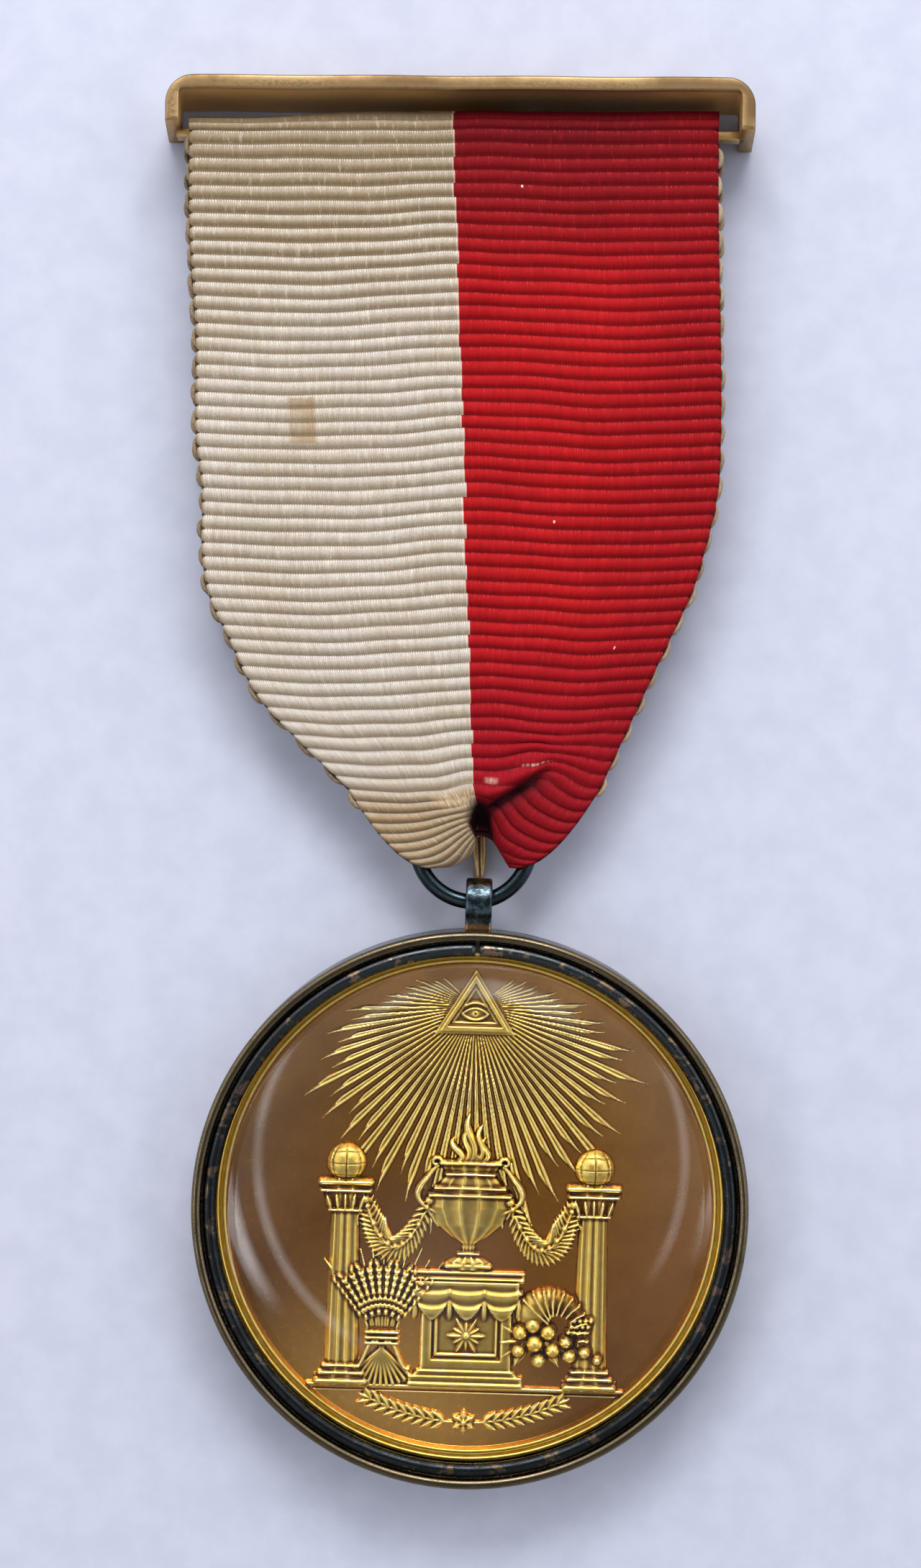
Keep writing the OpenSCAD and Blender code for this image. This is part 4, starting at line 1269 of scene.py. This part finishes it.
def worn_metal(name, deep, body, bright, roughness, mottle, wear_gain, relief, pits=0.35, blotch=None,
               dull_coat=(0.01, 0.009, 0.008)):
    """Old metal: dark patina in the hollows, bare metal where it is worn, fine pits, and a dull coat, dark
    unless given, wherever the grime and painted light attribute lies.
    """
    g = Graph(bpy.data.materials.new(name))
    where = g.place()
    cloud = g.noise(where, mottle, 4, 0.6)
    fine = g.noise(where, 0.22, 3, 0.65)
    wear = g.attribute("wear")
    colour = g.blend(g.step(cloud, 0.36, 0.62), deep, body)
    if blotch is not None:
        patches = g.step(g.noise(where, 1.6, 3, 0.6, (1, 1.2, 0.8)), 0.55, 0.62)
        colour = g.blend(g.times(patches, wear), colour, blotch)
    # grime, and on the bow's inside painted light: a coat that is less metallic
    grime = g.times(g.attribute("grime"), g.step(cloud, 0.3, 0.6, 1.0, 0.8))
    worn = g.times(wear, g.step(fine, 0.3, 0.6, 0.35, wear_gain))
    pitted = g.step(g.noise(where, 0.12, 2, 0.5), 0.3, 0.4, pits, 0)
    colour = g.layers(colour, [(worn, bright), (pitted, deep), (grime, dull_coat)])
    rough = g.math("ADD", g.step(cloud, 0.3, 0.7, roughness + 0.08, roughness - 0.05),
                   g.step(fine, 0.35, 0.65, 0.08, -0.04))
    bare = g.step(grime, 0, 1, 1, 0.25, smooth=False)
    return g.principled(Base_Color=colour, Metallic=bare, Roughness=rough,
                        Normal=g.bump(fine, 0.03 * relief, 0.8, g.bump(cloud, 0.1 * relief, 0.5)))


def spot(g, cloth, place, half, soft):
    """A patch of the cloth at a place across and along it, by its half size and how softly it ends."""
    gaps = [g.math("ABSOLUTE", g.math("SUBTRACT", value, middle)) for value, middle in zip(cloth, place)]
    return g.times(*(g.step(gap, reach, reach + fade, 1, 0) for gap, reach, fade in zip(gaps, half, soft)))


def random_of(g, *numbers):
    """A random number from whole ones, the same wherever they are the same."""
    return g.node("ShaderNodeTexWhiteNoise", {0: g.joint(*numbers)}, noise_dimensions="3D").outputs["Value"]


def weave(g):
    """What the silk's colours hang on: the place on the cloth, on its rib and on its thread, and its age."""
    silk = SimpleNamespace()
    uv = g.node("ShaderNodeUVMap", uv_map="cloth").outputs[0]
    silk.across, silk.along = silk.cloth = g.parts(uv)[:2]
    silk.rib, silk.phase = g.math("FLOOR", silk.along), g.math("FRACT", silk.along)

    # the threads: about six to a millimetre, unevenly spaced, each with its own shade
    thread_at = g.times(g.math("ADD", silk.across, g.times(g.noise(uv, 2.5, 2, 0.5), 0.6)), 5.9)
    silk.thread = random_of(g, g.math("FLOOR", thread_at), silk.rib)
    silk.crest = g.math("SINE", g.times(g.math("FRACT", thread_at), math.pi))
    silk.streak = g.noise(uv, 0.35, 3, 0.65, (1.0, 0.22, 1))
    silk.grain = g.noise(uv, 0.09, 2, 0.6, (1.0, 0.5, 1))
    silk.thick, silk.thin = g.step(silk.streak, 0.28, 0.46, 1, 0), g.step(silk.streak, 0.5, 0.72)

    # where on the rib: the furrow and the gaps between the ticks, with painted shade; the upper slope, with
    # painted light; the lower slope, with painted shade; the ticks at the upper edge, with painted highlights
    furrow = g.math("MAXIMUM", g.step(silk.phase, 0.0, 0.06, 1, 0), g.step(silk.phase, 0.86, 0.98))
    between = g.times(g.step(silk.phase, 0.08, 0.18, 1, 0), g.step(silk.crest, 0.35, 0.75, 1, 0))
    silk.dark = g.math("MAXIMUM", furrow, between)
    silk.upper, silk.lower = g.step(silk.phase, 0.3, 0.6, 1, 0), g.step(silk.phase, 0.38, 0.92)
    tick_end = g.step(silk.thread, 0, 1, 0.18, 0.32, smooth=False)
    silk.tick = g.times(g.step(silk.phase, 0.0, 0.03),
                        g.step(g.math("DIVIDE", silk.phase, tick_end), 0.55, 1.0, 1, 0),
                        g.step(silk.crest, 0.5, 0.95))

    silk.age = g.step(g.noise(uv, 9, 4, 0.6), 0.35, 0.68)
    silk.smudge = g.noise(uv, 2.2, 3, 0.6, (0.6, 1, 1))
    silk.gathered = g.step(silk.along, 46.5, 50.0)
    return silk


def white_silk(g, silk):
    """The white half, from its clean cloth to the dirt and the marks on it, with painted light and shade on
    its ribs and the bar's painted shadow.
    """
    near_bar, upper_third = g.step(silk.along, 0.0, 9.0, 1, 0), g.step(silk.along, 7.0, 18.0, 1, 0)
    # painted shade on the lower slopes of the ribs in the upper third and in the gather
    soiled = g.times(g.math("MAXIMUM", upper_third, silk.gathered), g.step(silk.phase, 0.3, 0.75))
    stain = g.times(spot(g, silk.cloth, *STAIN), g.step(silk.smudge, 0.3, 0.6, 0.35, 0.8))
    floats = g.blend(g.step(silk.streak, 0.35, 0.6), (0.6, 0.47, 0.32), (0.36, 0.25, 0.14))
    return g.layers(g.blend(silk.age, (0.47, 0.42, 0.36), (0.42, 0.35, 0.27)), [
        # painted light on the ribs' upper slopes
        (g.times(silk.upper, 0.45), (0.53, 0.495, 0.455)),
        (g.times(upper_third, 0.3), (0.36, 0.28, 0.2)),
        # the bar's painted shadow and soil over the first ribs
        (g.times(near_bar, 0.65), (0.27, 0.195, 0.115)),
        (g.times(silk.gathered, 0.8), (0.33, 0.21, 0.1)),
        # painted shade on the ribs' lower slopes, deeper in the upper third and in the gather
        (g.times(silk.lower, 0.5), (0.33, 0.255, 0.165)),
        (g.times(soiled, 0.7), (0.2, 0.135, 0.06)),
        (g.step(silk.smudge, 0.58, 0.75, 0, 0.22), (0.27, 0.2, 0.11)),
        (g.times(silk.thin, 0.35), (0.33, 0.25, 0.15)),
        (g.times(silk.thick, 0.3), (0.75, 0.68, 0.6)),
        # painted shade in the furrows and in the gaps between the ticks; the ticks, thread ends, lighter with
        # painted highlights
        (g.times(silk.dark, 0.6), (0.25, 0.18, 0.11)),
        (g.times(silk.tick, 0.6), (0.72, 0.67, 0.62)),
        (stain, (0.3, 0.2, 0.1)),
        (spot(g, silk.cloth, *FLOATS), floats)])


def red_silk(g, silk):
    """The red half, from its clean cloth to the dirt and the marks on it, with painted light and shade on its
    ribs and the bar's painted shadow.
    """
    rubbed = g.times(spot(g, silk.cloth, *RUBBED), g.step(silk.grain, 0.35, 0.55),
                     g.step(silk.streak, 0.3, 0.6, 0.15, 0.8))
    scuffed = g.times(spot(g, silk.cloth, *SCUFFED), g.step(silk.streak, 0.35, 0.65, 0.55, 0))
    return g.layers(g.blend(silk.age, (0.39, 0.005, 0.007), (0.315, 0.003, 0.005)), [
        (g.step(silk.along, 34, 46, 0, 0.85), (0.25, 0.002, 0.01)),
        (g.times(silk.gathered, 0.6), (0.15, 0.002, 0.007)),
        # the bar's painted shadow and grime over the first ribs
        (g.step(silk.along, 3.5, 12.0, 0.8, 0), (0.12, 0.002, 0.005)),
        (g.step(silk.along, 0.0, 3.0, 0.7, 0), (0.07, 0.001, 0.004)),
        (g.step(silk.across, 9, 19, 0, 0.6), (0.2, 0.002, 0.006)),
        # painted shade on the ribs' lower slopes and painted light on their upper slopes
        (g.times(silk.lower, 0.35), (0.17, 0.003, 0.005)),
        (g.times(silk.upper, 0.15), (0.39, 0.008, 0.012)),
        (g.times(silk.thin, 0.35), (0.2, 0.004, 0.008)),
        (g.times(silk.thick, 0.25), (0.46, 0.02, 0.03)),
        # painted shade in the furrows and in the gaps between the ticks; the ticks, thread ends, lighter with
        # painted highlights
        (g.times(silk.dark, 0.55), (0.08, 0.001, 0.003)),
        (g.times(silk.tick, g.step(silk.thread, 0.4, 1.0, 0.1, 0.4)), (0.52, 0.05, 0.06)),
        (g.math("MAXIMUM", rubbed, scuffed), (0.78, 0.5, 0.4)),
        *((spot(g, silk.cloth, place, (0.05, 0.07), (0.05, 0.06)), (0.7, 0.5, 0.42)) for place in SPECKS)])


def ribbon_material():
    """Ribbed silk: white at the left, red at the right, with fine warp threads over each thick weft cord.

    The seam wanders by a thread or two from rib to rib, and has a light line along it.
    """
    g = Graph(bpy.data.materials.new("ribbed_silk"))
    silk = weave(g)
    off_seam = g.math("SUBTRACT", silk.across, g.times(g.math("SUBTRACT", random_of(g, silk.rib), 0.5), 0.3))
    line = g.times(g.step(off_seam, -0.15, -0.1), g.step(off_seam, -0.04, 0.0, 1, 0), 0.45)
    border = g.step(silk.across, 0.08 - HALF_RIBBON, 0.25 - HALF_RIBBON, 0.75, 0)
    colour = g.layers(white_silk(g, silk), [
        (g.step(off_seam, -0.03, 0.03), red_silk(g, silk)),
        (line, (0.75, 0.5, 0.42)),
        (border, (0.28, 0.2, 0.11)),
        # painted shade in the crease, in the notch's valley, at the fold's end and on the inner skin
        (g.attribute("soil"), (0.02, 0.005, 0.009))])
    # each thread's own tone and a fine grain, with painted shade on the thread's sides, darker than its lit
    # crest
    shade = g.times(g.step(silk.thread, 0, 1, 0.93, 1.05, smooth=False),
                    g.step(silk.crest, 0.0, 0.6, 0.93, 1.0),
                    g.step(silk.grain, 0.3, 0.7, 0.86, 1.12, smooth=False))
    height = g.math("ADD", g.times(silk.crest, 0.2), g.math("ADD", g.times(silk.streak, 0.8), silk.tick))
    colour = g.blend(1.0, colour, g.joint(shade, shade, shade), "MULTIPLY")
    return g.principled(Base_Color=colour, Roughness=0.72, Normal=g.bump(height, 0.04, 0.8),
                        Specular_IOR_Level=0.1)


def selvage_material():
    """The bare weft cord at the ribbon's edges: brown on the white side, cream on the red, and twisted."""
    g = Graph(bpy.data.materials.new("weft_cord"))
    where = g.place()
    ply = g.noise(where, 0.16, 2, 0.6, (1.0, 2.4, 1.0))
    age = g.step(g.noise(where, 3.0, 3, 0.6), 0.35, 0.65)
    side = g.step(g.parts(where)[0], -1.0, 1.0)
    brown = g.blend(age, (0.22, 0.145, 0.07), (0.12, 0.08, 0.04))
    cream = g.blend(age, (0.42, 0.3, 0.19), (0.28, 0.18, 0.11))
    colour = g.layers(brown, [(side, cream), (g.step(ply, 0.4, 0.6, 0, 0.4), (0.55, 0.45, 0.33)),
                              (g.times(g.attribute("shade"), 0.4), (0.13, 0.085, 0.045))])
    return g.principled(Base_Color=colour, Roughness=0.8, Normal=g.bump(ply, 0.07, 0.9))


def loop_material():
    """The loop's strap: dark steel-blue, with brass showing at its shoulder and its soldered foot."""
    g = Graph(bpy.data.materials.new("loop_patina"))
    where = g.place()
    cloud = g.noise(where, 0.8, 3, 0.6)
    fine = g.noise(where, 0.2, 3, 0.6)
    colour = g.layers((0.022, 0.034, 0.042), [
        (g.step(cloud, 0.42, 0.62), (0.085, 0.12, 0.145)),
        (g.step(fine, 0.58, 0.72, 0, 0.4), (0.3, 0.37, 0.4)),
        (g.times(g.attribute("brass"), g.step(cloud, 0.36, 0.52)), (0.3, 0.17, 0.065))])
    return g.principled(Base_Color=colour, Metallic=1.0, Roughness=g.step(fine, 0.3, 0.7, 0.34, 0.22),
                        Normal=g.bump(cloud, 0.08, 0.7, g.bump(fine, 0.015, 0.6)))


def gilt_material(name, grain_depth):
    """Gilt metal: a satin, browned field with a painted glow of reflected light towards its foot, and relief
    darkened in its hollows by dirt and painted shade, with painted highlights on its ridges.
    """
    g = Graph(bpy.data.materials.new(name))
    where = g.place()
    haze = g.noise(where, 5.5, 4, 0.55)
    grain = g.noise(where, 0.1, 2, 0.6)
    brushed = g.noise(where, 0.5, 3, 0.6)
    raised, ridge = g.attribute("relief"), g.attribute("ridge")
    above = g.step(g.parts(where)[1], -6, 12)
    to_foot = g.vector("DISTANCE", {0: where, 1: (-7, -17, 2)})["Value"]
    browned = g.blend(g.step(haze, 0.35, 0.68), g.blend(above, (0.26, 0.1, 0.016), (0.28, 0.125, 0.022)),
                      g.blend(above, (0.345, 0.14, 0.026), (0.38, 0.18, 0.038)))
    # painted reflected glow: the field turns bright orange gold towards its lower left
    field = g.blend(g.step(to_foot, 2, 16, 0.9, 0), browned, (1.0, 0.55, 0.13))
    bright = g.blend(g.step(brushed, 0.35, 0.65), (1.0, 0.68, 0.13), (1.0, 0.8, 0.25))
    # dirt and painted shade darken the relief's hollows; painted highlights lighten its ridges and sharpest
    # edges
    edge = g.step(ridge, 0.66, 0.95)
    relief = g.layers((0.13, 0.045, 0.006), [(g.step(ridge, 0.3, 0.74), bright), (edge, (1.0, 0.88, 0.42))])
    rough = g.math("ADD", g.step(raised, 0, 1, 0.24, 0.37), g.step(brushed, 0.3, 0.7, -0.03, 0.04))
    rough = g.math("SUBTRACT", rough, g.times(edge, 0.1))
    return g.principled(Base_Color=g.blend(raised, field, relief), Metallic=1.0, Roughness=rough,
                        Normal=g.bump(grain, grain_depth, 0.8))


def glass_material():
    """Clear glass: what lies behind shows through, and its faces reflect more at a slant, on both sides."""
    g = Graph(bpy.data.materials.new("glass"))
    gloss = g.node("ShaderNodeBsdfGlossy", {"Color": (0.95, 0.97, 1.0), "Roughness": 0.03})
    clear = g.node("ShaderNodeBsdfTransparent", {"Color": (0.985, 0.985, 0.98)})
    slant = g.node("ShaderNodeLayerWeight", {"Blend": 0.5}).outputs["Facing"]
    share = g.math("MULTIPLY_ADD", g.math("POWER", slant, 5.0), 0.9, 0.018)
    return g.surface(g.node("ShaderNodeMixShader", {0: share, 1: clear.outputs[0], 2: gloss.outputs[0]}))


def floor_material():
    g = Graph(bpy.data.materials.new("floor"))
    grain = g.noise(g.place(), 3.0, 3, 0.6)
    colour = g.blend(g.step(grain, 0.3, 0.7), (0.475, 0.505, 0.635), (0.515, 0.545, 0.675))
    return g.principled(Base_Color=colour, Roughness=0.9)


# Stage, light and camera

# the camera looks straight down from here, as it did for the photograph
PHOTO_EYE = (-0.67, 30.6, 175.0)
SENSOR_MM = 36
LENS_MM = 54.46
CLIP_M = (0.01, 20)

FLOOR_HALF_M = 5.0

# the lamp: the place up the ribbon that it is aimed at, its elevation, its distance and its size
LIGHT_AIM_Y = 30
LIGHT_RISE = math.radians(40)
LIGHT_AWAY = 420
LIGHT_SIZE_M = (0.3, 0.12)
LIGHT_POWER = 1.35
LIGHT_COLOUR = (1.0, 0.98, 0.94)


def make_floor():
    mesh = bpy.data.meshes.new("floor")
    corners = [(x * FLOOR_HALF_M, y * FLOOR_HALF_M, 0) for x, y in ((-1, -1), (1, -1), (1, 1), (-1, 1))]
    mesh.from_pydata(corners, [], [(0, 1, 2, 3)])
    mesh.materials.append(floor_material())
    placed("floor", mesh)


def make_camera():
    camera = bpy.data.cameras.new("camera")
    camera.sensor_width = SENSOR_MM
    camera.lens = LENS_MM
    camera.clip_start, camera.clip_end = CLIP_M
    eye = placed("camera", camera)
    eye.location = [v * MM for v in PHOTO_EYE]
    bpy.context.scene.camera = eye


def make_light():
    """A soft light beyond the bar, aimed at the middle of the jewel."""
    light = bpy.data.lights.new("sky_top", "AREA")
    light.shape = "RECTANGLE"
    light.size, light.size_y = LIGHT_SIZE_M
    light.energy = LIGHT_POWER
    light.color = LIGHT_COLOUR
    lamp = placed("sky_top", light)
    away, up = LIGHT_AWAY * math.cos(LIGHT_RISE), LIGHT_AWAY * math.sin(LIGHT_RISE)
    lamp.location = [0, (LIGHT_AIM_Y + away) * MM, up * MM]
    lamp.rotation_euler = (math.radians(90) - LIGHT_RISE, 0, math.radians(180))


# windows in the sky, which the glass mirrors: azimuth, half width in azimuth, lowest and highest z, and
# brightness; the first two lie across the turn from -pi to pi
WINDOWS = [(math.pi, 0.75, 0.668, 0.695, 10.0), (math.pi, 1.2, 0.752, 0.762, 5.0),
           (0.1, 0.6, 0.662, 0.684, 9.0), (0.2, 0.9, 0.742, 0.75, 4.0),
           (1.27, 0.45, 0.826, 0.852, 8.0), (1.95, 0.5, 0.83, 0.842, 5.0)]


def make_world():
    """A bright sky that darkens overhead and towards the jewel's foot, with soft windows in it."""
    g = Graph(bpy.data.worlds.new("sky"), "ShaderNodeOutputWorld")
    bpy.context.scene.world = g.owner
    way = g.node("ShaderNodeTexCoord").outputs["Generated"]
    x, y, z = g.parts(way)
    level = g.times(g.step(z, 0.65, 0.985, 1.15, 0.1), g.step(y, -0.7, 0.5, 0.4, 1.3))
    glow = g.vector("DISTANCE", {0: way, 1: (-0.12, -0.32, 0.94)})["Value"]
    level = g.math("ADD", level, g.step(glow, 0.05, 0.4, 0.75, 0))
    streaks = g.step(g.noise(way, 0.4, 2, 0.5, (1, 1, 3)), 0.3, 0.6, 0.3, 1)
    azimuth = g.math("ARCTAN2", y, x)
    for middle, half, low, high, brightness in WINDOWS:
        toward = g.math("ABSOLUTE", azimuth) if middle == math.pi else azimuth
        aside = g.math("ABSOLUTE", g.math("SUBTRACT", toward, middle))
        above, below = g.step(z, low - 0.007, low + 0.004), g.step(z, high - 0.004, high + 0.012, 1, 0)
        window = g.times(above, below, streaks, g.step(aside, half - 0.35, half, 1, 0), brightness)
        level = g.math("ADD", level, window)
    tint = g.vector("SCALE", {0: (0.98, 0.98, 1.0), 3: level})[0]
    g.surface(g.node("ShaderNodeBackground", {"Color": tint, "Strength": 1.0}))


# The jewel

aged_brass = worn_metal("aged_brass", (0.02, 0.016, 0.011), (0.075, 0.057, 0.035), (0.24, 0.19, 0.115), 0.24,
                        mottle=2.4, wear_gain=0.6, relief=0.3)
dark_steel = worn_metal("dark_steel", (0.008, 0.009, 0.01), (0.02, 0.024, 0.028), (0.12, 0.135, 0.145), 0.26,
                        mottle=1.4, wear_gain=0.4, relief=0.5, blotch=(0.33, 0.2, 0.11))
blued_steel = worn_metal("blued_steel", (0.01, 0.017, 0.021), (0.028, 0.045, 0.056), (0.2, 0.26, 0.3), 0.2,
                         mottle=2.0, wear_gain=0.25, relief=0.3, pits=0.15)
# the brass's pale, dull coat is painted light on the bow's inside, and grime on its back and hidden parts
tarnished_brass = worn_metal("tarnished_brass", (0.17, 0.105, 0.05), (0.33, 0.22, 0.11), (0.62, 0.45, 0.23),
                             0.42, mottle=5.5, wear_gain=0.9, relief=0.12, pits=0.2, dull_coat=(0.8, 0.47, 0.16))

make_case(aged_brass)
make_loop(loop_material())
slit = KEEPER_SLIT / KEEPER_R
make_wire_ring("retaining_ring", "retaining_wire", KEEPER_R, KEEPER_WIRE_R, (0, 0), KEEPER_Z, dark_steel,
               KEEPER_STEPS, math.pi / 2 + slit / 2, math.pi * 2.5 - slit / 2, CASE_TURN)
make_wire_ring("suspension_ring", "ring_wire", RING_R, RING_WIRE_R, RING_POS, MID_Z, blued_steel, RING_STEPS)
make_glass(glass_material())
make_medal(gilt_material("gilt_field", 0.0), gilt_material("gilt_relief", 0.015))
make_bar(tarnished_brass)
ribbon = make_ribbon(ribbon_material())
selvage = make_selvage(selvage_material())

make_floor()
make_camera()
make_light()
make_world()
bpy.context.scene.view_settings.view_transform = "Standard"
